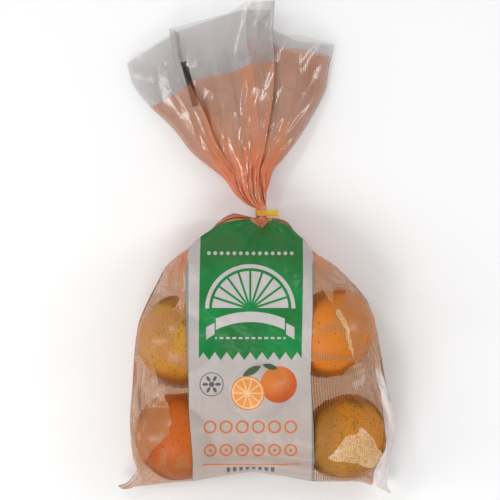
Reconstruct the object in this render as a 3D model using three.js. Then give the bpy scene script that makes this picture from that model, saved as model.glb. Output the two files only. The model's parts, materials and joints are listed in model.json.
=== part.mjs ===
// A one kilogram film bag of oranges, lying on its back with the printed front up.
// Millimetres. +X is the right of the bag, +Y runs to its open end and +Z is up.
// The bag is one piece of film: a full body, a gathered neck and a fanned tail.
// A strip of tape ties the neck, and an opaque printed panel covers the middle of the front.
import * as THREE from "three";

// Driving dimensions
const ORANGE_DIAMETER = 75;
const BODY_HEIGHT = ORANGE_DIAMETER;
const FILM_SAG = 9;
const NECK = { x: 4.8, top: 32.3, bottom: 25, height: 24, radius: 4.15 };
const TAIL_HEIGHT = 23;
const TAIL_SIDE_HEIGHT = 5;
const SIDE_FOLD_HEIGHT = 34;
const HEM_HEIGHT = 24;
const EAR_HEIGHT = 12;
const EDGE_THICKNESS = 0.6;
// Distances from the neck over which the front rises and the back drops to their full heights
const SHOULDER_REACH = 115;
const SHOULDER_REACH_BELOW = 60;
const PLEATS = { count: 3.5, depth: 2.6, phase: 1.1 };
const LABEL = { edge: 0.4, gap: 0.3, thickness: 0.5, from: 0.035, to: 0.985 };
const TAPE = { gap: 0.4, thickness: 0.6, width: 5.2, flag: 11.4, sides: 28 };

// Grid of the film: columns run along the bag, rings run round it
const SIDE_COLUMNS = 8;
const LABEL_COLUMNS = 12;
const BODY_RINGS = 32;
const BODY_RING_CROWDING = 0.92;
const TAIL_RINGS = 15;

// The oranges that push the front film up, as the centres of circles seen from above
const ORANGES = [
  [-60.2, -76],
  [61.5, -69],
  [-63.4, -155.5],
  [73.8, -156.5],
  [1, -114],
];

// Outlines seen from above, each from the neck outwards
const LEFT_SIDE = [
  [0.65, 25], [-8.1, 26.3], [-18.8, 28.1], [-28.8, 23], [-41.3, 10.5], [-52.9, 1.7],
  [-73.6, -15], [-80.3, -26.8], [-96, -60], [-99.4, -79.9], [-101.8, -113], [-104.3, -146.3],
  [-102.4, -173.5], [-99.1, -184.6], [-102.8, -190.6], [-107.7, -196], [-115.4, -198.9],
];
const RIGHT_SIDE = [
  [8.95, 25], [17.7, 24.4], [27.2, 20.5], [32.6, 11.7], [38.4, 4.6], [47.1, -3.3],
  [65.8, -15.4], [79.9, -29.1], [90.7, -41.7], [98.2, -60], [102.3, -79.9], [106.5, -106.5],
  [111.5, -126.4], [115.3, -148.8], [114, -166.2], [112.3, -181.2], [110.1, -197.8], [113.1, -205.6],
];
const LABEL_LEFT = [
  [3.2, 24.6], [-10.5, 23.8], [-25.5, 20.5], [-37.9, 13.4], [-47.9, 5.6], [-53.3, -1.9],
  [-55, -13.5], [-55.4, -43.4], [-55, -126.4], [-54.1, -163.8], [-51.7, -194.1],
];
const LABEL_RIGHT = [
  [6.4, 24.6], [14.4, 23.4], [26, 18.8], [35.1, 10.5], [42.2, 2.2], [46.3, -5.2],
  [46.7, -43.4], [46.7, -109.8], [47.9, -134.7], [47.9, -194.5],
];
const CENTRE = [
  [4.8, 24.6], [1.9, 10.5], [-2.2, -10.2], [-3.9, -43.4], [-3.9, -126.4], [-2.2, -186],
];
const TAIL_LEFT = [
  [0.65, 32.3], [-7.8, 36.4], [-17.7, 45.2], [-25.3, 56.2], [-53.2, 79.5], [-69.6, 100.4],
  [-89.4, 119.3], [-102.2, 135.7], [-108.2, 154.7],
];
const TAIL_RIGHT = [
  [8.95, 32.3], [9.2, 46.2], [11.4, 52.7], [14.9, 64.3], [24.8, 76.1], [37.6, 93.5],
  [54.4, 122.6], [58.8, 132.6], [62.1, 153.3], [66.6, 170.1],
];

// The bottom hem and the open mouth, as [share of the half width, x, y] from left to right
const HEM = [
  [-1, -115.4, -198.9], [-0.97, -111.4, -202.3], [-0.92, -106, -199.3], [-0.7, -79.4, -195.9],
  [-0.4, -51.7, -194.1], [-0.2, -25.5, -189.5], [0, -2.2, -186], [0.2, 22.7, -189.9],
  [0.4, 47.9, -194.5], [0.7, 88.2, -194.7], [0.85, 100.7, -199.4], [1, 113.1, -205.6],
];
const MOUTH = [
  [-1, -108.2, 154.7], [-0.83, -94, 163.3], [-0.57, -72.5, 177.4], [-0.53, -72.5, 182.4],
  [-0.01, -23, 195.1], [0.15, -7.8, 205], [0.4, 16.6, 205.6], [0.46, 14.4, 177],
  [0.67, 38.8, 177], [1, 66.6, 170.1],
];

const mix = (a, b, t) => a + (b - a) * t;
const clamp = (t) => Math.min(Math.max(t, 0), 1);
const smooth = (t) => clamp(t) ** 2 * (3 - 2 * clamp(t));
// Height of a quarter circle: 0 at an edge, 1 from one radius in
const roundEdge = (t) => Math.sqrt(1 - (1 - clamp(t)) ** 2);

// A smooth line through points, read by the share of its length
function guide(points) {
  const curve = new THREE.CatmullRomCurve3(
    points.map(([x, y]) => new THREE.Vector3(x, y, 0)),
    false,
    "centripetal",
  );
  curve.arcLengthDivisions = 400;
  return (share) => curve.getPointAt(clamp(share));
}

// A straight-sided line through [share, x, y] rows
function edgeLine(rows) {
  return (share) => {
    const next = rows.findIndex((row, i) => i > 0 && row[0] >= share - 1e-9);
    const [s0, x0, y0] = rows[next - 1];
    const [s1, x1, y1] = rows[next];
    const t = clamp((share - s0) / (s1 - s0));
    return new THREE.Vector3(mix(x0, x1, t), mix(y0, y1, t), 0);
  };
}

const leftSide = guide(LEFT_SIDE);
const rightSide = guide(RIGHT_SIDE);
const labelLeft = guide(LABEL_LEFT);
const labelRight = guide(LABEL_RIGHT);
const centre = guide(CENTRE);
const tailLeft = guide(TAIL_LEFT);
const tailRight = guide(TAIL_RIGHT);
const hem = edgeLine(HEM);
const mouth = edgeLine(MOUTH);

// Shares of the half width at each column, from -1 at the left fold to 1 at the right
function columnShares() {
  const shares = [];
  for (let i = 0; i < SIDE_COLUMNS; i++) shares.push(mix(-1, -LABEL.edge, i / SIDE_COLUMNS));
  for (let i = 0; i <= LABEL_COLUMNS; i++) shares.push(mix(-LABEL.edge, LABEL.edge, i / LABEL_COLUMNS));
  for (let i = 1; i <= SIDE_COLUMNS; i++) shares.push(mix(LABEL.edge, 1, i / SIDE_COLUMNS));
  return shares;
}

// A point of the body seen from above: share runs across, along runs from the neck to the hem
function acrossBody(share, along) {
  if (Math.abs(share) <= LABEL.edge) {
    const edge = share < 0 ? labelLeft(along) : labelRight(along);
    return centre(along).lerp(edge, Math.abs(share) / LABEL.edge);
  }
  const outer = share < 0 ? leftSide(along) : rightSide(along);
  const inner = share < 0 ? labelLeft(along) : labelRight(along);
  const t = (Math.abs(share) - LABEL.edge) / (1 - LABEL.edge);
  return inner.lerp(outer, Math.sin((t * Math.PI) / 2));
}

function bodyPlace(share, along) {
  const onHem = hem(share).sub(acrossBody(share, 1));
  return acrossBody(share, along).addScaledVector(onHem, along ** 6);
}

// Height of the front film over the oranges, before it rolls off at the edges
function drapedHeight(x, y) {
  const radius = ORANGE_DIAMETER / 2;
  let height = BODY_HEIGHT - FILM_SAG;
  for (const [ox, oy] of ORANGES) {
    const away = Math.hypot(x - ox, y - oy);
    if (away < radius) height = Math.max(height, radius + Math.sqrt(radius ** 2 - away ** 2));
  }
  return height;
}

// Lowest and highest film at a point of the body
function bodyHeights(share, along) {
  const place = bodyPlace(share, along);
  const side = bodyPlace(share < 0 ? -1 : 1, along);
  const width = bodyPlace(-1, along).distanceTo(bodyPlace(1, along));
  const fromAxis = Math.hypot(place.x - NECK.x, place.y - NECK.bottom);
  const fromNeck = Math.max(fromAxis - 1.2 * NECK.radius, 0);
  const radius = Math.min(BODY_HEIGHT / 2, width / 2);
  const fromHem = place.distanceTo(bodyPlace(share, 1));
  const roll = roundEdge(place.distanceTo(side) / radius) * roundEdge(fromHem / (BODY_HEIGHT / 2));

  const nearHem = 1 - smooth(fromHem / BODY_HEIGHT);
  const sideHeight = mix(NECK.height, SIDE_FOLD_HEIGHT, smooth(fromNeck / SHOULDER_REACH));
  const earness = nearHem * smooth((Math.abs(share) - 0.75) / 0.25);
  const edge = mix(mix(sideHeight, HEM_HEIGHT, nearHem), EAR_HEIGHT, earness);

  const rise = mix(NECK.radius, BODY_HEIGHT - edge, roundEdge(fromNeck / SHOULDER_REACH));
  const drop = mix(NECK.radius, edge, roundEdge(fromNeck / SHOULDER_REACH_BELOW));
  return {
    place,
    low: Math.max(edge - drop * roll - EDGE_THICKNESS / 2, 0),
    high: Math.min(edge + rise * roll, drapedHeight(place.x, place.y)) + EDGE_THICKNESS / 2,
  };
}

function tailPlace(share, along) {
  const across = (u) => tailLeft(u).lerp(tailRight(u), Math.sin((share * Math.PI) / 2) / 2 + 0.5);
  const fanned = (u) => tailLeft(u).lerp(tailRight(u), share / 2 + 0.5);
  const place = across(along).lerp(fanned(along), smooth(along * 3));
  return place.addScaledVector(mouth(share).sub(fanned(1)), along ** 2);
}

// Lowest and highest film at a point of the tail
function tailHeights(share, along) {
  const open = smooth(along * 1.4);
  const middle = mix(TAIL_HEIGHT / 2, TAIL_SIDE_HEIGHT, share ** 2);
  const edge = mix(NECK.height, middle, smooth(along * 1.2));
  const ellipse = Math.sqrt(Math.max(1 - share ** 2, 0));
  const round = mix(Math.cos((share * Math.PI) / 2), ellipse, smooth(along * 3));
  const pleats = Math.sin(2 * Math.PI * PLEATS.count * share + PLEATS.phase);
  const ripple = PLEATS.depth * Math.sin(Math.PI * along) * ellipse * pleats;
  const rise = mix(NECK.radius, TAIL_HEIGHT - middle, open) * round;
  const drop = mix(NECK.radius, edge, open) * round;
  return {
    place: tailPlace(share, along),
    low: Math.max(edge - drop - EDGE_THICKNESS / 2, 0),
    high: edge + rise + ripple + EDGE_THICKNESS / 2,
  };
}

// One row of vertices on the front film, then one on the back film
function ringOf(heights, shares) {
  const sections = shares.map(heights);
  return {
    front: sections.map(({ place, high }) => [place.x, place.y, high]),
    back: sections.map(({ place, low }) => [place.x, place.y, low]),
  };
}

// A closed skin through rings that each have a front row and a back row.
// Both films are split along the same diagonals, so a layer on the bag follows it everywhere.
function closedSkin(rings) {
  const columns = rings[0].front.length;
  const around = 2 * columns;
  const positions = [];
  for (const { front, back } of rings) {
    for (const vertex of front) positions.push(...vertex);
    for (const vertex of [...back].reverse()) positions.push(...vertex);
  }
  const faces = [];
  for (let r = 0; r + 1 < rings.length; r++) {
    for (let c = 0; c < around; c++) {
      const next = (c + 1) % around;
      const [a, b] = [r * around + c, r * around + next];
      const [d, e] = [a + around, b + around];
      if (c < columns) faces.push(a, b, e, a, e, d);
      else faces.push(a, b, d, b, e, d);
    }
  }
  const last = (rings.length - 1) * around;
  for (let c = 0; c + 1 < columns; c++) {
    const [f0, f1, b0, b1] = [c, c + 1, around - 1 - c, around - 2 - c];
    faces.push(f0, b0, b1, f0, b1, f1);
    faces.push(last + f0, last + b1, last + b0, last + f0, last + f1, last + b1);
  }
  const geometry = new THREE.BufferGeometry();
  geometry.setAttribute("position", new THREE.Float32BufferAttribute(positions, 3));
  geometry.setIndex(faces);
  geometry.computeVertexNormals();
  return geometry;
}

// Where the body's ring number r lies, from the hem at 1 to the neck at 0
const bodyAlong = (r) => 1 - (r / BODY_RINGS) ** BODY_RING_CROWDING;

function bagGeometry() {
  const shares = columnShares();
  const rings = [];
  for (let r = 0; r <= BODY_RINGS; r++) {
    rings.push(ringOf((share) => bodyHeights(share, bodyAlong(r)), shares));
  }
  for (let r = 0; r <= TAIL_RINGS; r++) {
    rings.push(ringOf((share) => tailHeights(share, r / TAIL_RINGS), shares));
  }
  return closedSkin(rings);
}

function labelGeometry() {
  const shares = columnShares().slice(SIDE_COLUMNS, SIDE_COLUMNS + LABEL_COLUMNS + 1);
  const rings = [];
  for (let r = 0; r <= BODY_RINGS; r++) {
    const along = bodyAlong(r);
    if (along < LABEL.from || along > LABEL.to) continue;
    const ring = ringOf((share) => bodyHeights(share, along), shares);
    const raised = (height) => ring.front.map(([x, y, z]) => [x, y, z + height]);
    rings.push({ front: raised(LABEL.gap + LABEL.thickness), back: raised(LABEL.gap) });
  }
  return closedSkin(rings);
}

// A band round the neck with its two ends stuck together as a flag
function tapeGeometry() {
  const inner = NECK.radius + TAPE.gap;
  const outer = inner + TAPE.thickness;
  const half = TAPE.thickness;
  const rootAngle = Math.asin(half / outer);
  const outline = new THREE.Shape();
  outline.absarc(0, 0, outer, rootAngle, 2 * Math.PI - rootAngle, false);
  outline.lineTo(outer + TAPE.flag, -half);
  outline.lineTo(outer + TAPE.flag, half);
  outline.closePath();
  const bore = new THREE.Path();
  bore.absarc(0, 0, inner, 0, 2 * Math.PI, true);
  outline.holes.push(bore);
  const band = new THREE.ExtrudeGeometry(outline, {
    depth: TAPE.width,
    bevelEnabled: false,
    curveSegments: TAPE.sides,
  });
  return band.rotateX(Math.PI / 2);
}

const film = new THREE.MeshStandardMaterial({ color: 0xd9a079, roughness: 0.25, metalness: 0 });
const print = new THREE.MeshStandardMaterial({ color: 0x2b7d45, roughness: 0.35, metalness: 0 });
const tape = new THREE.MeshStandardMaterial({ color: 0xd8b62c, roughness: 0.45, metalness: 0 });

const bag = new THREE.Mesh(bagGeometry(), film);
bag.name = "bag";

const label = new THREE.Mesh(labelGeometry(), print);
label.name = "label";

const tie = new THREE.Mesh(tapeGeometry(), tape);
tie.name = "tie";
tie.position.set(NECK.x, (NECK.top + NECK.bottom + TAPE.width) / 2, NECK.height);

const group = new THREE.Group();
group.add(bag, label, tie);
export default group;
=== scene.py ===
# %% [markdown]
# # A film bag of oranges
# The object is a long clear film bag with fine orange stripes and an opaque printed panel.
# Five oranges fill it, a strip of yellow tape ties the neck and the spare film fans out above.
# It lies on its back, so the camera looks straight down on the printed side.
# Everything is worked out in millimetres, as the part's own source is, and turned into metres
# where a mesh is made.

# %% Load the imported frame
import json
import math

import bmesh
import bpy
import numpy as np
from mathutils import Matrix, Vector

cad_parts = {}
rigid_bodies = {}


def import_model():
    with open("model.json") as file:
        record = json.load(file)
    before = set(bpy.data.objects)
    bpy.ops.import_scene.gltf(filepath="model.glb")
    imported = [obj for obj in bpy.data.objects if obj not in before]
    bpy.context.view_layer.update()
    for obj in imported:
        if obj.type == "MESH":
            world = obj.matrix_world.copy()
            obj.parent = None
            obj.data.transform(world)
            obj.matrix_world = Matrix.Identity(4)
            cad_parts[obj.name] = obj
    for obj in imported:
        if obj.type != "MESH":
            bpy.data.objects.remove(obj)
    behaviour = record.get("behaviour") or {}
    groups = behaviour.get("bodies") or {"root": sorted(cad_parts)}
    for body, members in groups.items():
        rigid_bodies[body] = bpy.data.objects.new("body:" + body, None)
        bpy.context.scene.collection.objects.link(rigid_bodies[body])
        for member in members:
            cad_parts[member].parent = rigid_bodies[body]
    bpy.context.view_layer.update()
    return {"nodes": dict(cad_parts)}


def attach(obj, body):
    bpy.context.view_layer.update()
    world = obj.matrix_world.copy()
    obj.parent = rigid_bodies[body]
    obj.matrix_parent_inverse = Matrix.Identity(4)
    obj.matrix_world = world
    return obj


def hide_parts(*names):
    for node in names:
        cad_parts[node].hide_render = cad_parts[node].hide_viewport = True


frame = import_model()
MM = 0.001
print("packed nodes:", sorted(frame["nodes"]))

# %% [markdown]
# ## Camera
# The photograph looks straight at the printed side from far off, so a long lens is placed high
# above the bag. The frame is square and spans a little more than the length of the bag.

# %% Camera
FRAME_WIDTH = 415.0
FRAME_CENTRE = (-4.7, -1.9)
FRAME_PLANE = 30.0
CAMERA_DISTANCE = 2200.0
SENSOR_WIDTH = 36.0
FARTHEST_SEEN_M = 20

camera_data = bpy.data.cameras.new("camera")
camera_data.sensor_width = SENSOR_WIDTH
camera_data.lens = SENSOR_WIDTH * CAMERA_DISTANCE / FRAME_WIDTH
camera_data.clip_end = FARTHEST_SEEN_M
camera = bpy.data.objects.new("camera", camera_data)
bpy.context.collection.objects.link(camera)
camera.location = Vector((*FRAME_CENTRE, FRAME_PLANE + CAMERA_DISTANCE)) * MM
bpy.context.scene.camera = camera
print("lens", round(camera_data.lens, 1), "mm")

# %% [markdown]
# ## Sizes and outlines
# The bag is one orange high. Its outline, the fold lines of the tail and the edges of the printed
# panel are short lists of points, each from the neck outwards, as in the part's source.

# %% Sizes
ORANGE_DIAMETER = 75.0
BODY_HEIGHT = ORANGE_DIAMETER
BODY_LENGTH = 235.0
NECK = {"x": 4.8, "top": 32.3, "bottom": 25.0, "height": 24.0, "radius": 4.15}
TAIL_LENGTH = 175.0
TAIL_HEIGHT = 23.0
TAIL_SIDE_HEIGHT = 5.0
SIDE_FOLD_HEIGHT = 34.0
HEM_HEIGHT = 24.0
EAR_HEIGHT = 12.0

# Flat widths of the cut film, from the middle of the front to the panel's edge and to the fold,
# and the share of the half width that the panel takes
LABEL_HALF = 51.0
FILM_HALF = 135.0
LABEL_SHARE = 0.4
print("body", BODY_LENGTH, "mm long, tail", TAIL_LENGTH, "mm long")

# %% Outlines seen from above
LEFT_SIDE = [
    (0.65, 25), (-8.1, 26.3), (-18.8, 28.1), (-28.8, 23), (-41.3, 10.5), (-52.9, 1.7),
    (-73.6, -15), (-80.3, -26.8), (-96, -60), (-99.4, -79.9), (-101.8, -113), (-104.3, -146.3),
    (-102.4, -173.5), (-99.1, -184.6), (-102.8, -190.6), (-107.7, -196), (-115.4, -198.9),
]
RIGHT_SIDE = [
    (8.95, 25), (17.7, 24.4), (27.2, 20.5), (32.6, 11.7), (38.4, 4.6), (47.1, -3.3),
    (65.8, -15.4), (79.9, -29.1), (90.7, -41.7), (98.2, -60), (102.3, -79.9), (106.5, -106.5),
    (111.5, -126.4), (115.3, -148.8), (114, -166.2), (112.3, -181.2), (110.1, -197.8),
    (113.1, -205.6),
]
LABEL_LEFT = [
    (3.2, 24.6), (-10.5, 23.8), (-25.5, 20.5), (-37.9, 13.4), (-47.9, 5.6), (-53.3, -1.9),
    (-55, -13.5), (-55.4, -43.4), (-55, -126.4), (-54.1, -163.8), (-51.7, -194.1),
]
LABEL_RIGHT = [
    (6.4, 24.6), (14.4, 23.4), (26, 18.8), (35.1, 10.5), (42.2, 2.2), (46.3, -5.2),
    (46.7, -43.4), (46.7, -109.8), (47.9, -134.7), (47.9, -194.5),
]
CENTRE = [
    (4.8, 24.6), (1.9, 10.5), (-2.2, -10.2), (-3.9, -43.4), (-3.9, -126.4), (-2.2, -186),
]
TAIL_LEFT = [
    (0.65, 32.3), (-7.8, 36.4), (-17.7, 45.2), (-25.3, 56.2), (-53.2, 79.5), (-69.6, 100.4),
    (-89.4, 119.3), (-102.2, 135.7), (-108.2, 154.7),
]
TAIL_RIGHT = [
    (8.95, 32.3), (9.2, 46.2), (11.4, 52.7), (14.9, 64.3), (24.8, 76.1), (37.6, 93.5),
    (54.4, 122.6), (58.8, 132.6), (62.1, 153.3), (66.6, 170.1),
]

# The bottom hem, as (share of the half width, x, y) from left to right
HEM = np.array([
    (-1, -115.4, -198.9), (-0.97, -111.4, -202.3), (-0.92, -106, -199.3), (-0.7, -79.4, -195.9),
    (-0.4, -51.7, -194.1), (-0.2, -25.5, -189.5), (0, -2.2, -186), (0.2, 22.7, -189.9),
    (0.4, 47.9, -194.5), (0.7, 88.2, -194.7), (0.85, 100.7, -199.4), (1, 113.1, -205.6),
])

# The oranges: centre seen from above, diameter, how tall it is for its width, and its lean
ORANGES = {
    "orange_upper_left": {"at": (-60.2, -76.0), "across": 75.0, "tall": 1.0, "lean": (1.9, 0.4, 0.3)},
    "orange_upper_right": {"at": (61.5, -69.0), "across": 75.5, "tall": 0.98, "lean": (1.2, -1.0, 1.1)},
    "orange_lower_left": {"at": (-63.4, -155.5), "across": 74.0, "tall": 0.98, "lean": (2.2, 0.5, 2.0)},
    "orange_lower_right": {"at": (73.8, -156.5), "across": 72.5, "tall": 1.0, "lean": (1.7, 0.9, 4.1)},
    "orange_middle": {"at": (3.5, -117.0), "across": 72.5, "tall": 0.98, "lean": (0.9, 0.3, 5.2)},
}
ORANGE_LIFT = 0.8
print(len(ORANGES), "oranges,", ORANGE_LIFT, "mm above the floor")

# %% Helpers for lines and blends
def mix(a, b, t):
    return a + (b - a) * t


def smooth(t):
    t = np.clip(t, 0, 1)
    return t * t * (3 - 2 * t)


def round_edge(t):
    """Height of a quarter circle: 0 at an edge, 1 from one radius in."""
    return np.sqrt(np.clip(1 - (1 - np.clip(t, 0, 1)) ** 2, 0, 1))


def guide(points):
    """A smooth centripetal line through points, read by the share of its length."""
    p = np.array(points, float)
    p = np.vstack([2 * p[0] - p[1], p, 2 * p[-1] - p[-2]])
    t = np.linspace(0, 1, 24, endpoint=False)[:, None]
    line = []
    for p0, p1, p2, p3 in zip(p, p[1:], p[2:], p[3:]):
        before, here, after = (np.linalg.norm(b - a) ** 0.5 for a, b in ((p0, p1), (p1, p2), (p2, p3)))
        start = p2 - p1 + here * ((p1 - p0) / before - (p2 - p0) / (before + here))
        end = p2 - p1 + here * ((p3 - p2) / after - (p3 - p1) / (here + after))
        line.append(
            (2 * t**3 - 3 * t**2 + 1) * p1
            + (t**3 - 2 * t**2 + t) * start
            + (3 * t**2 - 2 * t**3) * p2
            + (t**3 - t**2) * end
        )
    line = np.vstack([*line, p[-2:-1]])
    run = np.concatenate([[0], np.cumsum(np.linalg.norm(np.diff(line, axis=0), axis=1))])
    return lambda share: np.stack(
        [np.interp(np.clip(share, 0, 1) * run[-1], run, line[:, k]) for k in (0, 1)], -1
    )


def lengths(vectors):
    return np.linalg.norm(vectors, axis=-1)


left_side, right_side = guide(LEFT_SIDE), guide(RIGHT_SIDE)
label_left, label_right = guide(LABEL_LEFT), guide(LABEL_RIGHT)
centre_line = guide(CENTRE)
tail_left, tail_right = guide(TAIL_LEFT), guide(TAIL_RIGHT)
print("side outlines", left_side(0.5).round(1), right_side(0.5).round(1))

# %% [markdown]
# ## The film's grid
# The bag is a flat tube of film, cut from a roll. Each sheet of it, front and back, is a grid of
# columns that run along the bag and rows that run across it. The columns are evenly spaced on the
# flat film, so that the printed stripes keep their pitch wherever the film goes.

# %% Columns of the flat film
LABEL_COLUMNS = 27
SIDE_COLUMNS = 44
cut_across = np.concatenate([
    np.linspace(-FILM_HALF, -LABEL_HALF, SIDE_COLUMNS, endpoint=False),
    np.linspace(-LABEL_HALF, LABEL_HALF, 2 * LABEL_COLUMNS, endpoint=False),
    np.linspace(LABEL_HALF, FILM_HALF, SIDE_COLUMNS + 1),
])
side_share = (np.abs(cut_across) - LABEL_HALF) / (FILM_HALF - LABEL_HALF)
shares = np.where(
    side_share < 0,
    cut_across / LABEL_HALF * LABEL_SHARE,
    np.sign(cut_across) * mix(LABEL_SHARE, 1, side_share),
)
COLUMNS = len(shares)
BODY_ROWS = 131
BODY_ALONG = np.linspace(1, 0, BODY_ROWS)
print(COLUMNS, "columns,", round(cut_across[1] - cut_across[0], 2), "mm apart on the flat film")

# %% [markdown]
# ## The body before it settles
# The full part of the bag starts as a pillow: its side folds run half way up the oranges, the
# front rises over them and the back lies on the floor. Near the neck the film gathers into
# pleats, so folds that fan out from the neck are pressed into this start shape.

# %% Places of the body seen from above
def across_body(share, along):
    """share runs across from -1 to 1 and along runs from the neck at 0 to the hem at 1."""
    left = (share < 0)[..., None]
    outer = np.where(left, left_side(along), right_side(along))
    inner = np.where(left, label_left(along), label_right(along))
    t = (np.abs(share) - LABEL_SHARE) / (1 - LABEL_SHARE)
    middle = mix(centre_line(along), inner, (np.abs(share) / LABEL_SHARE)[..., None])
    side = mix(inner, outer, np.sin(np.clip(t, 0, 1) * np.pi / 2)[..., None])
    return np.where((t <= 0)[..., None], middle, side)


def body_place(share, along):
    share, along = np.broadcast_arrays(np.asarray(share, float), np.asarray(along, float))
    hem = np.stack([np.interp(share, HEM[:, 0], HEM[:, k]) for k in (1, 2)], -1)
    to_hem = hem - across_body(share, np.ones_like(along))
    return across_body(share, along) + to_hem * (along**6)[..., None]


grid_share, grid_along = np.broadcast_arrays(shares[None, :], BODY_ALONG[:, None])
place = body_place(grid_share, grid_along)
from_neck = np.maximum(lengths(place - [NECK["x"], NECK["bottom"]]) - 1.2 * NECK["radius"], 0)
from_hem = lengths(place - body_place(grid_share, 1.0))
width = lengths(body_place(1.0, grid_along) - body_place(-1.0, grid_along))
from_side = lengths(place - body_place(np.where(grid_share < 0, -1.0, 1.0), grid_along))
near_hem = 1 - smooth(from_hem / BODY_HEIGHT)
print("body grid", place.shape, "spans", place.min((0, 1)).round(1), place.max((0, 1)).round(1))

# %% Heights of the pillow
SHOULDER_REACH = 115.0
SHOULDER_REACH_BELOW = 60.0
EAR_FROM_SHARE = 0.75
HEADROOM = 1.0
FLOOR_GAP = 0.25

roll = round_edge(from_side / np.minimum(BODY_HEIGHT / 2, width / 2))
roll = roll * round_edge(from_hem / (BODY_HEIGHT / 2))
edge = mix(NECK["height"], SIDE_FOLD_HEIGHT, smooth(from_neck / SHOULDER_REACH))
edge = mix(edge, HEM_HEIGHT, near_hem)
in_ear = smooth((np.abs(grid_share) - EAR_FROM_SHARE) / (1 - EAR_FROM_SHARE))
edge = mix(edge, EAR_HEIGHT, near_hem * in_ear)
rise = mix(NECK["radius"], BODY_HEIGHT + HEADROOM - edge, round_edge(from_neck / SHOULDER_REACH))
drop = mix(NECK["radius"], edge, round_edge(from_neck / SHOULDER_REACH_BELOW))
pillow_front = edge + rise * roll
pillow_back = np.maximum(edge - drop * roll, FLOOR_GAP)
print("pillow up to", pillow_front.max().round(1), "mm high")


# %% Zigzags for folds and crumples
def triangle(t):
    """A zigzag between -1 and 1 with one tooth to each whole number."""
    return 4 * np.abs(t - np.floor(t) - 0.5) - 1


def gathers(share, spread):
    """Sharp folds of uneven width that fan out from a neck."""
    wander = 0.35 * np.sin(5.1 * share + 0.7) + 0.2 * np.sin(11.3 * share)
    return triangle(4.6 * share + wander) + 0.55 * triangle(9.7 * share - wander + 0.3 * spread)


def crumple(x, y, seed, pitches):
    """Flat faces of a crumpled sheet: zigzags of several directions added up."""
    random = np.random.default_rng(seed)
    total = 0
    for pitch in pitches:
        turn, start = random.uniform(0, np.pi), random.uniform()
        total = total + triangle((x * np.cos(turn) + y * np.sin(turn)) / pitch + start)
    return total / len(pitches)


# %% Gathers at the neck and crumples all over
FOLD_DEPTH = 2.6
FOLD_START = 9.0
FOLD_REACH = 75.0
FOLD_SHARE_ON_PANEL = 0.45
DENT_DEPTH = 2.4
DENT_PITCHES = (19, 26, 33, 45)
DENT_START = 20.0
DENT_SHARE_ON_PANEL = 0.3
FOLD_SHARE_AT_BACK = 0.4

strength = smooth(from_neck / FOLD_START) * (1 - smooth(from_neck / FOLD_REACH)) * np.sqrt(roll)
stiff = mix(1.0, FOLD_SHARE_ON_PANEL, np.abs(grid_share) < LABEL_SHARE)
folds = FOLD_DEPTH * strength * gathers(grid_share, from_neck / FOLD_REACH) * stiff
beside_panel = smooth((np.abs(grid_share) - LABEL_SHARE) / 0.1)
flat_y = BODY_ALONG[:, None] * BODY_LENGTH
dents = DENT_DEPTH * crumple(cut_across[None, :], flat_y, 5, DENT_PITCHES) * np.sqrt(roll)
folds = folds + dents * mix(DENT_SHARE_ON_PANEL, 1.0, beside_panel) * smooth(from_neck / DENT_START)
front = np.dstack([place, pillow_front + folds])
back = np.dstack([place, pillow_back + np.abs(folds) * FOLD_SHARE_AT_BACK])
print("front film from", front[..., 2].min().round(1), "to", front[..., 2].max().round(1))

# %% [markdown]
# ## Letting the front film settle
# Real film can't stretch, so where it is slack it buckles into crisp ridges, and it clings only
# to the tops of the oranges. A padded cloth preset gives soft swags instead, so the sheet is
# relaxed here by its own small solver: each step pulls it down a little, puts every grid edge
# back to its flat length and keeps it off the oranges. The hem and the side folds are held, and
# near them the film may hardly drift, so that the outline stays the one that was drawn.

# %% Film solver
# Links by rows and columns, with their stiffness: edges, diagonals, and long ones against creases
LINKS = {
    (0, 1): 0.24, (1, 0): 0.24, (1, 1): 0.1, (1, -1): 0.1,
    (0, 4): 0.05, (4, 0): 0.05, (3, 3): 0.03, (3, -3): 0.03,
}
PASSES = 4


class Sheet:
    """A grid of film that keeps the lengths of its edges."""

    def __init__(self, points, held, slack):
        self.points = points.copy()
        self.start = points.copy()
        self.held = held
        self.links = []
        for step, stiffness in LINKS.items():
            first, second = self.ends(points, step)
            room_first, room_second = self.ends(slack, step)
            rest = lengths(second - first) * (1 + (room_first + room_second) / 2)
            self.links.append((step, stiffness, rest[..., None]))

    @staticmethod
    def ends(grid, step):
        down, right = step
        rows, columns = grid.shape[:2]
        first = grid[: rows - down, max(-right, 0) : columns - max(right, 0)]
        second = grid[down:, max(right, 0) : columns + min(right, 0)]
        return first, second

    def keep_lengths(self):
        for step, stiffness, rest in self.links:
            first, second = self.ends(self.points, step)
            between = second - first
            size = np.maximum(lengths(between), 1e-6)[..., None]
            move = between * (stiffness * (1 - rest / size))
            first += move
            second -= move

    def keep_off(self, balls):
        for centre, radius in balls:
            away = self.points - centre
            size = lengths(away)
            inside = size < radius
            self.points[inside] = centre + away[inside] * (radius / size[inside])[:, None]

    def keep_near(self, sag, drift):
        """The air in the bag holds the film up, and its own stiffness keeps it from sliding."""
        self.points[..., 2] = np.maximum(self.points[..., 2], self.start[..., 2] - sag)
        moved = self.points[..., :2] - self.start[..., :2]
        size = np.maximum(lengths(moved), 1e-6)[..., None]
        self.points[..., :2] = self.start[..., :2] + moved * np.minimum(1, drift[..., None] / size)

    def settle(self, balls, sag, drift, rounds, pull, damping=0.93):
        speed = np.zeros_like(self.points)
        for _ in range(rounds):
            before = self.points.copy()
            speed[..., 2] -= pull
            self.points += speed
            for _ in range(PASSES):
                self.keep_lengths()
                self.keep_near(sag, drift)
                self.keep_off(balls)
                self.points[self.held] = self.start[self.held]
            speed = (self.points - before) * damping
        return self.points


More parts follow.
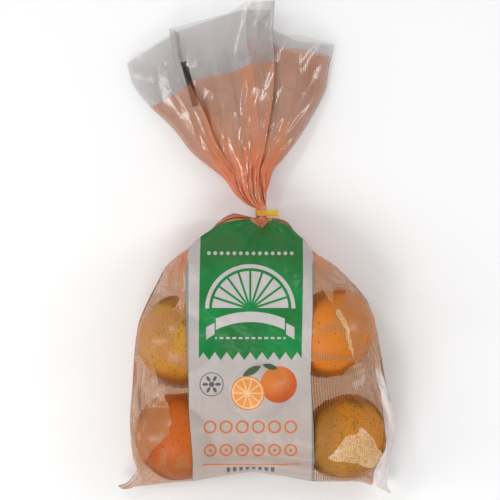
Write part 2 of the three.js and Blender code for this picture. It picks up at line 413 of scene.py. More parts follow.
# %% What the film rests on and where it is held
FILM_GAP = 0.4
HELD_NECK_ROWS = 4
SIDE_SLACK = 0.035
LABEL_SLACK = 0.006
SLACK_FROM_NECK = 30.0
SLACK_FROM_HEM = 12.0
RIPPLE = 0.25

balls = []
for orange in ORANGES.values():
    radius = orange["across"] / 2
    balls.append((np.array([*orange["at"], radius + ORANGE_LIFT]), radius + FILM_GAP))

held = np.zeros(front.shape[:2], bool)
held[:, [0, -1]] = True
held[[0, -1], :] = True
held[-HELD_NECK_ROWS:, :] = True
slack = mix(SIDE_SLACK, LABEL_SLACK, smooth((LABEL_SHARE + 0.08 - np.abs(grid_share)) / 0.08))
slack = slack * smooth(from_neck / SLACK_FROM_NECK) * smooth(from_hem / SLACK_FROM_HEM)
random = np.random.default_rng(7)
ripple = random.normal(0, RIPPLE, front.shape[:2])
front[..., 2] += np.where(held, 0, ripple)
print(len(balls), "balls,", held.sum(), "held points, slack up to", slack.max().round(3))

# %% Settle the front film on the oranges
SAG_NEAR_NECK = 2.0
SAG_BETWEEN_ORANGES = 11.0
SAG_FROM = 70.0
SAG_OVER = 50.0
DRIFT = 5.0
DRIFT_AT_FOLDS = 0.3
DRIFT_FROM_FOLDS = 24.0
ROUNDS = 150
PULL = 0.12

sag = mix(SAG_NEAR_NECK, SAG_BETWEEN_ORANGES, smooth((from_neck - SAG_FROM) / SAG_OVER))
near_fold = np.minimum(from_side, from_hem) / DRIFT_FROM_FOLDS
drift = mix(DRIFT_AT_FOLDS, DRIFT, smooth(near_fold))
sheet = Sheet(front, held, slack)
settled = sheet.settle(balls, sag, drift, ROUNDS, PULL)
print("front film moved by", lengths(settled - front).mean().round(2), "mm on average")
front = settled
gap = np.min([lengths(front - centre) - radius for centre, radius in balls], axis=0)
print("share of the front film that touches an orange:", (gap < 0.3).mean().round(3))

# %% [markdown]
# ## The tail
# Above the tape the tube fans out flat. It isn't an even fan: two long folds double the film over
# itself, which is why its mouth steps up and down. Each sheet is a list of fold lines with the
# place that each one reaches at the mouth, and the film between two lines is stretched flat.

# %% Fold lines of the tail
# Each row: share of the flat width, share of the fan's spread, mouth x, mouth y, lift off the sheet
FRONT_FOLDS = np.array([
    (0.0, 0.0, -108.2, 154.7, 0.0),
    (0.066, 0.081, -94.0, 163.3, 1.0),
    (0.199, 0.241, -66.5, 181.2, 1.8),
    (0.228, 0.20, -72.5, 182.6, -1.6),
    (0.334, 0.356, -46.0, 189.2, 1.0),
    (0.429, 0.487, -23.0, 195.1, 0.2),
    (0.50, 0.574, -7.8, 205.0, 1.4),
    (0.60, 0.714, 16.6, 205.6, 3.0),
    (0.70, 0.571, -8.4, 203.0, -1.8),
    (0.79, 0.70, 14.4, 177.0, 0.2),
    (0.886, 0.841, 38.8, 177.0, 1.4),
    (1.0, 1.0, 66.6, 170.1, 0.0),
])
BACK_FOLDS = np.array([
    (0.0, 0.0, -108.2, 154.7, 0.0),
    (0.125, 0.14, -84.0, 170.0, 0.6),
    (0.24, 0.25, -64.5, 181.5, 0.2),
    (0.265, 0.22, -69.0, 181.0, 1.2),
    (0.542, 0.55, -12.0, 200.0, 0.3),
    (0.652, 0.69, 13.0, 200.0, 1.2),
    (0.717, 0.63, 2.0, 190.0, 0.2),
    (0.857, 0.81, 34.0, 174.0, 0.9),
    (1.0, 1.0, 66.6, 170.1, 0.0),
])
TAIL_ROWS = 92

along_tail = np.broadcast_to(np.linspace(0, 1, TAIL_ROWS)[:, None], (TAIL_ROWS, COLUMNS))
cut_share = (cut_across / FILM_HALF + 1)[None, :] / 2
print(len(FRONT_FOLDS), "fold lines in front,", len(BACK_FOLDS), "behind")

# %% [markdown]
# Film that fans out from a tight neck isn't wavy: it breaks into flat facets between straight
# radial folds. Broad facets run up to the mouth, narrow ones fade out soon after the tape, and a
# crumple of other directions crosses them. They are zigzags read at shifted places, so that each
# facet has its own width, height and lean.

# %% Facets and pleats of the tail
CRUMPLE_DEPTH = 2.0
CRUMPLE_PITCHES = (14, 19, 38, 47, 61, 83)
NARROW_PLEATS = 47
NARROW_LEAN = 5.0


def facets(along, count, seed, lean, shift=0.0):
    """Flat faces of uneven width between straight folds, which lean to one side on their way."""
    random = np.random.default_rng(seed)
    at = (np.arange(count) + random.uniform(-0.36, 0.36, count) + shift) / (count - 1)
    rise = np.where(np.arange(count) % 2, 1, -1) * random.uniform(0.3, 1, count)
    leaning = random.uniform(-lean, lean, count) / count
    rows = np.broadcast_to(cut_share, along.shape)
    return np.array([np.interp(row, at + leaning * a, rise) for row, a in zip(rows, along[:, 0])])


def tail_relief(along, seed):
    """Pleats in three widths, each fading towards the mouth, and crumples that grow towards it."""
    narrow = facets(along, NARROW_PLEATS, seed + 2, NARROW_LEAN)
    pleats = facets(along, 9, seed, 0.5) * mix(1.6, 0.9, along)
    pleats = pleats + facets(along, 21, seed + 1, 2.0) * 1.7 * (1 - along) ** 1.4
    pleats = pleats + narrow * 1.5 * (1 - along) ** 3.5
    flat_x, flat_y = cut_share * 2 * FILM_HALF, along * TAIL_LENGTH
    dents = crumple(flat_x, flat_y, seed + 3, CRUMPLE_PITCHES) * smooth(along * 3) * CRUMPLE_DEPTH
    return pleats * smooth(along * 14) + dents


def tail_sway(along, seed):
    """How far the narrow pleats lean over sideways, in millimetres."""
    sway = facets(along, NARROW_PLEATS, seed + 2, NARROW_LEAN, 0.5) * (1 - along) ** 2.5
    return sway * smooth(along * 14) * 1.5


print("relief at the mouth up to", tail_relief(along_tail, 10)[-1].max().round(1), "mm")

# %% Tail sheets
FRONT_SEED = 10
BACK_SEED = 40


def tail_sheet(folds_table, is_front):
    read = lambda column: np.interp(cut_share, folds_table[:, 0], folds_table[:, column])
    fan, lift = read(1), read(4)
    mouth = np.stack([read(2), read(3)], -1)
    along = along_tail
    left, right = tail_left(along), tail_right(along)
    round_share = 0.5 - np.cos(np.pi * cut_share) / 2
    spread = mix(round_share, np.broadcast_to(fan, round_share.shape), smooth(along * 4))[..., None]
    to_mouth = mouth - mix(left[-1], right[-1], fan[..., None])
    spot = mix(left, right, spread) + to_mouth * (along**2)[..., None]

    share = 2 * spread[..., 0] - 1
    opened = smooth(along * 1.4)
    middle = mix(TAIL_HEIGHT / 2, TAIL_SIDE_HEIGHT, share**2)
    side = mix(NECK["height"], middle, smooth(along * 1.2))
    ellipse = np.sqrt(np.clip(1 - share**2, 0, 1))
    bulge = mix(np.sin(np.pi * cut_share), ellipse, smooth(along * 3))
    up = side + mix(NECK["radius"], TAIL_HEIGHT - middle, opened) * bulge
    down = side - mix(NECK["radius"], side, opened) * bulge

    seed = FRONT_SEED if is_front else BACK_SEED
    sideways = (right - left) / np.maximum(lengths(right - left), 1e-6)[..., None]
    spot = spot + sideways * (tail_sway(along, seed) * ellipse)[..., None]
    relief = tail_relief(along, seed) * np.minimum(ellipse * 1.6, 1)
    if is_front:
        z = up + relief + lift * opened
    else:
        z = np.maximum(down + np.abs(relief) * 0.6 + lift * opened, FLOOR_GAP + 0.05)
    return np.dstack([spot, z])


tail_front = tail_sheet(FRONT_FOLDS, True)
tail_back = tail_sheet(BACK_FOLDS, False)
for sheet_grid in (tail_front, tail_back):
    sheet_grid[0, :, :2] = place[-1]
    sheet_grid[0, :, 1] += NECK["top"] - NECK["bottom"]
    sheet_grid[:, [0, -1], 2] = (tail_front[:, [0, -1], 2] + tail_back[:, [0, -1], 2]) / 2
tail_back[:, [0, -1], :] = tail_front[:, [0, -1], :]
print("tail spans", tail_front.min((0, 1)).round(1), tail_front.max((0, 1)).round(1))

# %% [markdown]
# ## One skin of film
# The two sheets of the body and of the tail are joined into one tube: rings run round it from the
# hem, where front and back are sealed together, through the neck to the open mouth. Each point
# also remembers where it lies on the flat film, how far it is off the oranges and how many layers
# of film are gathered there, and the material reads these.

# %% Rings from the hem to the mouth
front_rows = np.concatenate([front, tail_front])
back_rows = np.concatenate([back, tail_back])
back_rows[:BODY_ROWS, [0, -1]] = front[:, [0, -1]]
back_rows[0] = front[0]
ROWS = len(front_rows)


def along_film(rows):
    """How far each row is from the hem on the flat film, the longest way."""
    steps = np.median(lengths(np.diff(rows, axis=0)), axis=1)
    return np.concatenate([[0], np.cumsum(steps)])


cut_along = along_film(front_rows)
cut_pitch = np.gradient(cut_across)
MOST_LAYERS = 9


def layers(rows):
    """Layers of gathered film: its flat width over the width that it takes up."""
    taken = lengths(np.gradient(rows, axis=1))
    count = np.clip(cut_pitch[None, :] / np.maximum(taken, 0.05), 1, MOST_LAYERS)
    for _ in range(3):
        count[1:-1] = (count[:-2] + 2 * count[1:-1] + count[2:]) / 4
        count[:, 1:-1] = (count[:, :-2] + 2 * count[:, 1:-1] + count[:, 2:]) / 4
    return count


ring = np.concatenate([np.arange(COLUMNS), np.arange(COLUMNS - 2, 0, -1)])
ROUND = len(ring)
points = np.concatenate([front_rows, back_rows[:, COLUMNS - 2 : 0 : -1]], axis=1)
print(ROWS, "rings of", ROUND, "points; the film is", cut_along[-1].round(), "mm long when flat")


# %% A mesh that carries named values
def mesh_object(name, points_mm, faces, values):
    """A mesh in metres with smooth faces and named values for each of its points."""
    mesh = bpy.data.meshes.new(name)
    mesh.from_pydata((points_mm.reshape(-1, 3) * MM).tolist(), [], faces)
    for key, numbers in values.items():
        layer = mesh.attributes.new(key, "FLOAT", "POINT")
        layer.data.foreach_set("value", np.asarray(numbers, np.float32).ravel())
    mesh.polygons.foreach_set("use_smooth", [True] * len(mesh.polygons))
    mesh.update()
    made = bpy.data.objects.new(name, mesh)
    bpy.context.collection.objects.link(made)
    print(name, "has", len(mesh.vertices), "points and", len(mesh.polygons), "faces")
    return made


# %% Film mesh
FAR_OFF = 9.0
BACK_CLEARANCE = 1.2


def film_faces():
    faces = []
    for row in range(ROWS - 1):
        for i in range(ROUND):
            j = (i + 1) % ROUND
            corners = [row * ROUND + i, row * ROUND + j, (row + 1) * ROUND + j, (row + 1) * ROUND + i]
            if row == 0:
                corners = [c if c >= ROUND or c < COLUMNS else ring[c] for c in corners]
            faces.append([c for n, c in enumerate(corners) if c != corners[n - 1]])
    return faces


def round_tube(front_value, back_value):
    return np.concatenate([front_value, back_value[:, COLUMNS - 2 : 0 : -1]], axis=1)


clearance = np.full(front_rows.shape[:2], FAR_OFF)
clearance[:BODY_ROWS] = np.clip(gap, 0, FAR_OFF)
across_rows = np.broadcast_to(cut_across, front_rows.shape[:2])
along_rows = np.broadcast_to(cut_along[:, None], front_rows.shape[:2])
film = mesh_object(
    "film",
    points,
    film_faces(),
    {
        "cut_across": round_tube(across_rows, across_rows),
        "cut_along": round_tube(along_rows, along_rows),
        "clearance": round_tube(clearance, np.full_like(clearance, BACK_CLEARANCE)),
        "layers": round_tube(layers(front_rows), layers(back_rows)),
        "behind": round_tube(np.zeros_like(clearance), np.ones_like(clearance)),
    },
)

# %% Points that the sealed hem leaves over
spare = bmesh.new()
spare.from_mesh(film.data)
loose = [v for v in spare.verts if not v.link_faces]
print(len(loose), "points of the back's first row are closed by the front's")
bmesh.ops.delete(spare, geom=loose, context="VERTS")
spare.to_mesh(film.data)
spare.free()

# %% [markdown]
# ## Printed panels
# The opaque panel is ink on the film itself, so it is cut from the same grid and lifted off by
# less than half a millimetre. Its print is laid out as seen from above, mostly by the place that
# each point has after the film settled, so that the drawing keeps its shape over the bulges. Past
# the turn at the hem the film drops steeply, and there the print goes on by the film's length.

# %% Panels cut from the film
LABEL_FROM = 0.993
LABEL_TO = 0.03
LABEL_LIFT = 0.3
BACK_LABEL_LIFT = 0.12
BACK_LABEL_SHIFT = 3
BACK_LABEL_SHORTER = (4, 30)
PRINT_FOLLOWS = 0.8
PRINT_TURN = -179.0


def row_normals(rows, outward):
    down, right = np.gradient(rows, axis=0), np.gradient(rows, axis=1)
    normal = np.cross(right, down)
    normal /= np.maximum(lengths(normal), 1e-9)[..., None]
    return normal * np.where(normal[..., 2:] * outward < 0, -1, 1)


def past_the_turn(print_y, part):
    """Past the turn at the hem, each row is a step of film away from the row before it."""
    steps = lengths(np.diff(part, axis=0))
    for i in range(len(part) - 2, -1, -1):
        dropping = part[i, :, 1] < PRINT_TURN
        print_y[i] = np.where(dropping, print_y[i + 1] - steps[i], print_y[i])


def panel(name, rows, outward, span, columns, lift):
    """Cut rows and columns, each given as first and last, out of a sheet of film."""
    cut = (slice(span[0], span[1] + 1), slice(columns[0], columns[1] + 1))
    part = (rows + row_normals(rows, outward) * lift)[cut]
    flat = mix(place[cut], part[..., :2], PRINT_FOLLOWS)
    if outward > 0:
        past_the_turn(flat[..., 1], part)
    faces = []
    down, right = part.shape[:2]
    for i in range(down - 1):
        for j in range(right - 1):
            first, below = i * right + j, (i + 1) * right + j
            corners = [first, first + 1, below + 1, below]
            faces.append(corners if outward > 0 else corners[::-1])
    return mesh_object(name, part, faces, {"print_x": flat[..., 0], "print_y": flat[..., 1]})


label_rows = np.flatnonzero((BODY_ALONG <= LABEL_FROM) & (BODY_ALONG >= LABEL_TO))
first_row, last_row = label_rows[0], label_rows[-1]
left_column, right_column = SIDE_COLUMNS, SIDE_COLUMNS + 2 * LABEL_COLUMNS
label = panel(
    "printed_panel", front, 1, (first_row, last_row), (left_column, right_column), LABEL_LIFT,
)
back_label = panel(
    "back_panel", back, -1,
    (first_row + BACK_LABEL_SHORTER[0], last_row - BACK_LABEL_SHORTER[1]),
    (left_column + 1, right_column + BACK_LABEL_SHIFT), BACK_LABEL_LIFT,
)

# %% [markdown]
# ## Shader and geometry trees as plain sums
# A node tree is easier to read as a formula. Wire wraps a socket, and its operators add Math nodes
# to the tree, so 1 - mask or x * 2 work as in any sum. Tree.add makes every other kind of node.

# %% Wires and trees
class Wire:
    """The value that a socket gives, with operators that add Math nodes."""

    def __init__(self, tree, socket):
        self.tree = tree
        self.socket = socket

    def math(self, operation, *others, turned=False):
        values = [*others, self] if turned else [self, *others]
        return self.tree.add("ShaderNodeMath", {"operation": operation}, dict(enumerate(values)))

    def __add__(self, other):
        return self.math("ADD", other)

    def __sub__(self, other):
        return self.math("SUBTRACT", other)

    def __mul__(self, other):
        return self.math("MULTIPLY", other)

    def __truediv__(self, other):
        return self.math("DIVIDE", other)

    def __pow__(self, other):
        return self.math("POWER", other)

    def __rsub__(self, other):
        return self.math("SUBTRACT", other, turned=True)

    def __rtruediv__(self, other):
        return self.math("DIVIDE", other, turned=True)

    def __rpow__(self, other):
        return self.math("POWER", other, turned=True)

    def __neg__(self):
        return 0 - self

    def __abs__(self):
        return self.math("ABSOLUTE")

    __radd__ = __add__
    __rmul__ = __mul__

    def least(self, other):
        return self.math("MINIMUM", other)

    def most(self, other):
        return self.math("MAXIMUM", other)

    def ramp(self, low, high):
        """0 up to low, 1 from high on and a smooth rise between them."""
        return self.tree.add(
            "ShaderNodeMapRange",
            {"interpolation_type": "SMOOTHSTEP"},
            {"Value": self, "From Min": low, "From Max": high},
        )


class Tree:
    """A node tree that is written as formulas."""

    def __init__(self, nodes):
        self.nodes = nodes

    def add(self, kind, settings=None, sockets=None, output=0):
        node = self.nodes.nodes.new(kind)
        for name, value in (settings or {}).items():
            setattr(node, name, value)
        for key, value in (sockets or {}).items():
            self.feed(node.inputs[key], value)
        return Wire(self, node.outputs[output]) if node.outputs else None

    def feed(self, socket, value):
        if isinstance(value, Wire):
            self.nodes.links.new(value.socket, socket)
        else:
            socket.default_value = value

    def mix(self, share, a, b):
        """Colour a where share is 0 and colour b where it is 1."""
        return self.add(
            "ShaderNodeMix", {"data_type": "RGBA"}, {0: share, 6: a, 7: b}, output=2
        )

    def read(self, name):
        """A named value that the mesh carries."""
        return self.add("ShaderNodeAttribute", {"attribute_name": name}, output=2)

    def place(self):
        """The place of a point on its object, in metres."""
        return self.add("ShaderNodeTexCoord", output=3)

    def split(self, vector):
        """The three parts of a vector."""
        node = self.add("ShaderNodeSeparateXYZ", None, {"Vector": vector}).socket.node
        return [Wire(self, part) for part in node.outputs]

    def noise(self, vector, scale, detail, settings=None, **more):
        """Soft noise, in cells of about one over scale of a metre."""
        sockets = {"Vector": vector, "Scale": scale, "Detail": detail, **more}
        return self.add("ShaderNodeTexNoise", settings, sockets)

    def cells(self, vector, scale, randomness=1.0):
        """Voronoi cells: the distance to a cell's middle, the cell's colour and its middle."""
        sockets = {"Vector": vector, "Scale": scale, "Randomness": randomness}
        node = self.add("ShaderNodeTexVoronoi", None, sockets).socket.node
        return [Wire(self, node.outputs[k]) for k in range(3)]

    def vector(self, operation, sockets, output=0):
        return self.add("ShaderNodeVectorMath", {"operation": operation}, sockets, output)

    def bump(self, strength, distance, height):
        sockets = {"Strength": strength, "Distance": distance, "Height": height}
        return self.add("ShaderNodeBump", None, sockets)


def colour(red, green, blue):
    """A screen colour from 0 to 255 as the linear colour that a shader takes."""
    parts = []
    for value in (red / 255, green / 255, blue / 255):
        parts.append(value / 12.92 if value <= 0.04045 else ((value + 0.055) / 1.055) ** 2.4)
    return (*parts, 1.0)


def new_material(name):
    made = bpy.data.materials.new(name)
    made.use_nodes = True
    made.node_tree.nodes.clear()
    return made, Tree(made.node_tree)


def finish_material(tree, sockets):
    shader = tree.add("ShaderNodeBsdfPrincipled", None, sockets)
    tree.add("ShaderNodeOutputMaterial", None, {"Surface": shader})


print("tree helpers ready")

# %% [markdown]
# ## Film
# The film is clear, a little hazy and very glossy, with orange pinstripes printed along it and a
# clear band left at the mouth. Where it clings to an orange the haze goes, and where it is
# gathered its layers add up. A glass shader for each layer would be slow and noisy, so one
# shader with a varying Alpha does this: its gloss is raised to make up for the part that is
# see-through.
#
# First come the patches that a packer would notice on a full bag. They have sharp, straight
# edges, because the film lets go of the peel along a crease, so each is a short polygon.

# %% Patches of the film
# In millimetres as seen from above, each convex and clockwise. Here the film touches the peel
CONTACTS = [
    [(-76.9, -40.6), (-68.9, -38.7), (-60.9, -38.0), (-62.9, -43.4), (-65.5, -48.0), (-70.1, -51.1),
     (-81.5, -54.9), (-86.1, -55.2)],
    [(-55.8, -57.2), (-48.9, -57.2), (-48.9, -85.8), (-68.1, -85.8), (-67.8, -74.3), (-66.6, -69.2),
     (-60.9, -62.3)],
    [(-87.5, -79.8), (-82.7, -85.8), (-77.8, -93.2), (-76.4, -112.7), (-79.2, -112.7)],
    [(-79.2, -92.4), (-71.2, -93.8), (-54.9, -100.4), (-48.9, -103.0), (-48.9, -115.6), (-78.7, -115.6)],
    [(41.8, -33.7), (55.0, -34.8), (63.5, -49.1), (64.7, -54.9), (60.1, -61.7), (53.2, -65.7), (41.8, -65.7)],
    [(63.0, -35.4), (73.9, -34.8), (69.8, -45.1), (65.8, -49.7), (63.0, -45.7)],
    [(41.8, -69.8), (68.1, -68.6), (73.9, -78.9), (79.0, -89.2), (41.8, -83.6)],
    [(41.8, -92.7), (80.7, -92.7), (80.2, -95.5), (70.4, -104.1), (57.8, -106.4), (41.8, -105.3)],
    [(87.9, -71.5), (89.9, -70.6), (91.9, -71.5), (92.3, -74.6), (91.6, -77.8), (89.9, -78.8), (87.9, -77.8),
     (87.5, -74.6)],
    [(-75.5, -119.9), (-49.5, -118.2), (-49.5, -129.1), (-70.9, -129.1)],
    [(-71.3, -128.2), (-49.5, -128.2), (-49.5, -143.4), (-67.6, -143.4)],
    [(-67.8, -142.3), (-49.5, -141.7), (-49.5, -153.7), (-70.1, -153.2), (-70.1, -148.6)],
    [(-70.1, -152.6), (-49.5, -151.4), (-49.5, -189.8), (-71.2, -191.5), (-81.0, -186.3), (-91.5, -176.3),
     (-82.4, -163.4), (-75.8, -156.6)],
    [(46.1, -129.6), (67.1, -118.3), (79.1, -118.0), (91.6, -123.6), (100.6, -132.6), (106.6, -145.8),
     (106.6, -157.8), (103.6, -170.9), (94.0, -181.1), (82.0, -187.7), (67.1, -188.9), (52.1, -184.1),
     (46.1, -181.1)],
]
# Here it touches the peel only in part
HALF_CONTACTS = [
    [(-77.8, -164.6), (-72.4, -162.9), (-72.8, -178.3), (-78.7, -178.3)],
    [(-64.3, -172.0), (-55.2, -165.7), (-53.2, -180.0), (-66.6, -180.6)],
]
# Pockets of air between film and peel, where a painted highlight of pale haze stands for the glare that they
# catch
GLARE_POCKETS = [
    [(64.1, -50.0), (68.4, -50.3), (74.1, -60.6), (75.6, -65.7), (72.7, -65.7), (69.8, -61.7)],
    [(72.7, -61.7), (75.0, -64.0), (78.4, -78.9), (81.3, -92.1), (76.1, -82.4), (73.9, -73.2)],
    [(86.2, -146.1), (90.1, -149.7), (94.3, -153.9), (97.0, -157.2), (98.5, -160.8), (99.1, -164.4),
     (99.1, -175.7), (82.0, -175.7), (82.0, -151.8)],
    [(67.1, -164.1), (72.5, -153.9), (82.3, -151.7), (82.3, -176.0), (67.1, -174.5)],
    [(59.3, -171.5), (67.4, -163.8), (67.4, -174.8), (60.5, -173.3)],
    [(82.0, -175.4), (99.1, -164.4), (101.8, -165.6), (103.6, -169.7), (102.4, -173.3), (99.4, -178.1),
     (95.8, -181.1), (87.4, -178.7)],
]
# Long pleats of the tail, where the film lies in three layers
PLEATS = [
    [(-47.8, 119.2), (-39.6, 116.6), (-5.2, 58.2), (-10.4, 54.4)],
    [(-14.2, 156.0), (-2.7, 160.0), (4.9, 78.0), (-2.7, 78.0)],
    [(24.0, 106.0), (30.5, 109.0), (25.0, 92.0), (14.5, 64.0), (9.0, 68.0)],
]
# The dark bar that registers the print, near the mouth
BAR = [(-62.6, 154.6), (-57.4, 156.0), (-47.2, 118.4), (-52.4, 117.0)]
print(len(CONTACTS), "contacts,", len(GLARE_POCKETS), "air pockets,", len(PLEATS), "pleats")

# %% What the film's material reads
MM_TO_A_METRE = 1000

film_material, tree = new_material("striped_film")
across, along, clear_of, gathered, behind = (
    tree.read(name) for name in ("cut_across", "cut_along", "clearance", "layers", "behind")
)
in_front = 1 - behind.ramp(0.1, 0.9)
object_place = tree.place()
plan_x, plan_y = (part * MM_TO_A_METRE for part in tree.split(object_place)[:2])
edge_noise = tree.noise(object_place, 160.0, 2.0) - 0.5
ragged_x, ragged_y = plan_x + edge_noise * 4, plan_y - edge_noise * 3
film_end = float(cut_along[-1])
neck_along = float(cut_along[BODY_ROWS - 1])
in_tail = along.ramp(neck_along - 5, neck_along + 30)
print("the neck is", round(neck_along), "mm from the hem, the mouth", round(film_end), "mm")


# %% Masks of patches
def patch(corners, soft=0.25, at=(ragged_x, ragged_y)):
    """Inside a patch, a point is to the right of each of its edges."""
    inside = None
    for (x0, y0), (x1, y1) in zip(corners, corners[1:] + corners[:1]):
        run = math.hypot(x1 - x0, y1 - y0)
        a, b = (y1 - y0) / run, -(x1 - x0) / run
        depth = at[0] * a + (at[1] * b - (a * x0 + b * y0))
        inside = depth if inside is None else inside.least(depth)
    return inside.ramp(-soft, soft)


def any_of(patches, at=(ragged_x, ragged_y)):
    found = patch(patches[0], at=at)
    for corners in patches[1:]:
        found = found.most(patch(corners, at=at))
    return found


clinging = any_of(CONTACTS) * (1 - any_of(HALF_CONTACTS) * 0.5)
pocket_glare = any_of(GLARE_POCKETS)
pleated = any_of(PLEATS, (plan_x, plan_y)) * in_front
bar = patch(BAR, 0.3, (plan_x, plan_y)) * in_front
print("patches take", len(film_material.node_tree.nodes), "nodes so far")

# %% [markdown]
# The stripes are printed on the flat film, so they are drawn on its flat places and crowd
# together by themselves where it is gathered. They could be an image, but a sum of the distance
# across the film stays sharp at any size. Crowded stripes are finer than a pixel, so their
# average takes over there.

# %% Stripes and where they end
STRIPE_PITCH = 1.9
STRIPE_SHARE = 0.5
STRIPE_SOFT = 0.12
CLEAR_BAND_LEFT = 47
CLEAR_BAND_NARROWER = 33
BARE_EDGE = 29.5
BARE_EDGE_TOP = 124.0
BARE_LEAN = 6
CROWDED_INK = 0.66
PLEATED_INK = 0.5

# The clear band at the mouth is wider on the left than on the right
band = across.ramp(28, 74) * -CLEAR_BAND_NARROWER + CLEAR_BAND_LEFT + (-across).ramp(60, 120) * 4
printed = (film_end - along - band).ramp(-0.4, 0.4)
# A strip beside the lower right fold has no print either. Its strong near-white haze is partly the bare
# film's own and partly painted glare along that fold.
bare_and_glare = (across - (along.ramp(5, 45) * BARE_LEAN + (FILM_HALF - BARE_EDGE))).ramp(0, 0.8)
bare_and_glare = bare_and_glare * (1 - (along + across * 0.6 - 81).ramp(BARE_EDGE_TOP - 12, BARE_EDGE_TOP))
printed = printed * (1 - bare_and_glare)
phase = (across / STRIPE_PITCH).math("FRACT")
line = 1 - (abs(phase - 0.5) * 2).ramp(STRIPE_SHARE - STRIPE_SOFT, STRIPE_SHARE + STRIPE_SOFT)
crowd = gathered.ramp(1.4, 3.0)
line = (line * (1 - crowd) + crowd * CROWDED_INK).most(pleated * PLEATED_INK)
inked = line * printed
print("stripes", STRIPE_PITCH, "mm apart, a clear band of", CLEAR_BAND_LEFT, "mm on the left")

# %% [markdown]
# How much of what is behind shows through is the share that one layer leaves open, raised to the
# number of layers. Haze is strongest where two sheets of film lie together with nothing behind
# them, weaker over the peel and almost gone where the film clings to it.

# %% Haze, ink and layers
HAZE = {"all": 0.14, "tail": 0.16, "over_peel": 0.08, "off_peel_brightened": 0.18, "pocket_glare": 0.46, "bare_and_glare": 0.5}
INK = {"all": 0.86, "over_peel": 0.36, "clinging": 0.38, "pocket_glare": 0.12}
MOST_LAYERS_SEEN = 5.0
DOUBLED_LAYERS = 0.8

cloudy = tree.noise(object_place, 38.0, 3.0, Roughness=0.6)
glare_streaks = tree.noise(object_place, 330.0, 3.0, Roughness=0.7, Distortion=1.2)
pocket_glare = pocket_glare * in_front * (1 - clear_of.ramp(4, 7)) * (1 - bare_and_glare)
clinging = clinging * in_front * (1 - clear_of.ramp(8.5, 8.9)) * (1 - pocket_glare)
in_body = in_front * (1 - in_tail)
over_peel = in_body * (1 - clear_of.ramp(4, 8.8))
off_peel_brightened = in_body * clear_of.ramp(4, 8.8)
# Noise breaks the painted glare of the pockets into streaks.
pocket_glare = pocket_glare * (glare_streaks.ramp(0.32, 0.6) * 0.5 + 0.5)

# Between the oranges the haze is raised as painted light, which lifts the shade that falls inside the bag.
haze = in_tail * HAZE["tail"] + over_peel * HAZE["over_peel"] + off_peel_brightened * HAZE["off_peel_brightened"]
haze = (haze + HAZE["all"]) * (cloudy * 0.5 + 0.75) * (1 - crowd * 0.5)
haze = haze * (1 - clinging * 0.94) + pocket_glare * HAZE["pocket_glare"] + bare_and_glare * HAZE["bare_and_glare"]
uncovered = over_peel * INK["over_peel"] + clinging * INK["clinging"] + pocket_glare * INK["pocket_glare"]
ink = inked * (INK["all"] - uncovered)
# Between two radial folds of the tail the film often lies double
sector_place = tree.add("ShaderNodeCombineXYZ", None, {0: across * 0.055, 1: along * 0.0012})
sector = tree.noise(sector_place, 1.0, 2.0, Roughness=0.7)
doubled = in_tail * sector.ramp(0.51, 0.53) * (film_end - along).ramp(12, 60)
layers_seen = gathered.least(MOST_LAYERS_SEEN) + doubled * DOUBLED_LAYERS + pleated
alpha = 1 - ((1 - haze) * (1 - ink)) ** layers_seen
print("one layer of plain haze hides", HAZE["all"], "of what is behind it")

# %% Colours of the film
# Over the peel the haze takes a painted orange glow of light from the peel below; the near white of the bare
# strip and the cream of the pockets are painted glare.
HAZE_AND_PAINTED_LIGHT_COLOURS = {
    "tail_dull": colour(172, 163, 162), "tail_bright": colour(188, 181, 180),
    "body": colour(198, 184, 166), "over_peel": colour(212, 168, 116),
    "bare_and_glare": colour(240, 230, 228), "pocket_glare": colour(252, 214, 158), "bar": colour(60, 52, 52),
}
STRIPE_COLOUR = colour(188, 110, 46)
STRIPE_COLOUR_GATHERED = colour(208, 98, 34)
BAR_COVER = 0.94

haze_colour_and_painted_light = tree.mix(cloudy.ramp(0.3, 0.7), HAZE_AND_PAINTED_LIGHT_COLOURS["tail_dull"], HAZE_AND_PAINTED_LIGHT_COLOURS["tail_bright"])
for mask, key in (
    (1 - in_tail, "body"), (over_peel, "over_peel"), (bare_and_glare, "bare_and_glare"), (pocket_glare, "pocket_glare"), (bar, "bar"),
):
    haze_colour_and_painted_light = tree.mix(mask, haze_colour_and_painted_light, HAZE_AND_PAINTED_LIGHT_COLOURS[key])
haze = haze * (1 - bar) + bar
alpha = alpha.most(bar * BAR_COVER)
ink_colour = tree.mix(gathered.ramp(1.3, 4), STRIPE_COLOUR, STRIPE_COLOUR_GATHERED)
film_colour = tree.mix(ink / (ink + haze * 0.6 + 0.001), haze_colour_and_painted_light, ink_colour)
print("film colours:", len(HAZE_AND_PAINTED_LIGHT_COLOURS) + 2)

# %% [markdown]
# Crumpled film is made of small flat faces, each tilted its own way, and each throws back the
# light of another place. Voronoi cells give the faces and their random colours the tilts.

# %% Crumpled faces and the film's shader
CRUMPLE_SCALE = 36.0
CRUMPLE_TILT = 0.0036
FILM_IOR = 1.6

scaled_place = tree.vector("SCALE", {0: object_place, "Scale": CRUMPLE_SCALE})
_, cell_colour, cell_middle = tree.cells(scaled_place, 1.0)
from_middle = tree.vector("SUBTRACT", {0: scaled_place, 1: cell_middle})
tilt = tree.vector("SUBTRACT", {0: cell_colour, 1: (0.5, 0.5, 0.5)})
face = tree.vector("DOT_PRODUCT", {0: from_middle, 1: tilt}, output=1)
dent = tree.bump(1.0, CRUMPLE_TILT, face)
finish_material(tree, {
    "Base Color": film_colour,
    "Roughness": 0.14 + (1 - in_tail) * 0.12 + clinging * 0.1,
    "IOR": FILM_IOR,
    "Alpha": alpha,
    "Normal": dent,
})
film.data.materials.append(film_material)
print("film material:", len(film_material.node_tree.nodes), "nodes")

# %% [markdown]
# ## Print on the panel
# The panel is a green field with white borders and a zigzag foot over a white panel. What is drawn
# on it is plain market-stall art of our own: a half slice of citrus, a ribbon, rows of rings and a
# whole fruit with a slice. Each shape is a formula of the two print coordinates.

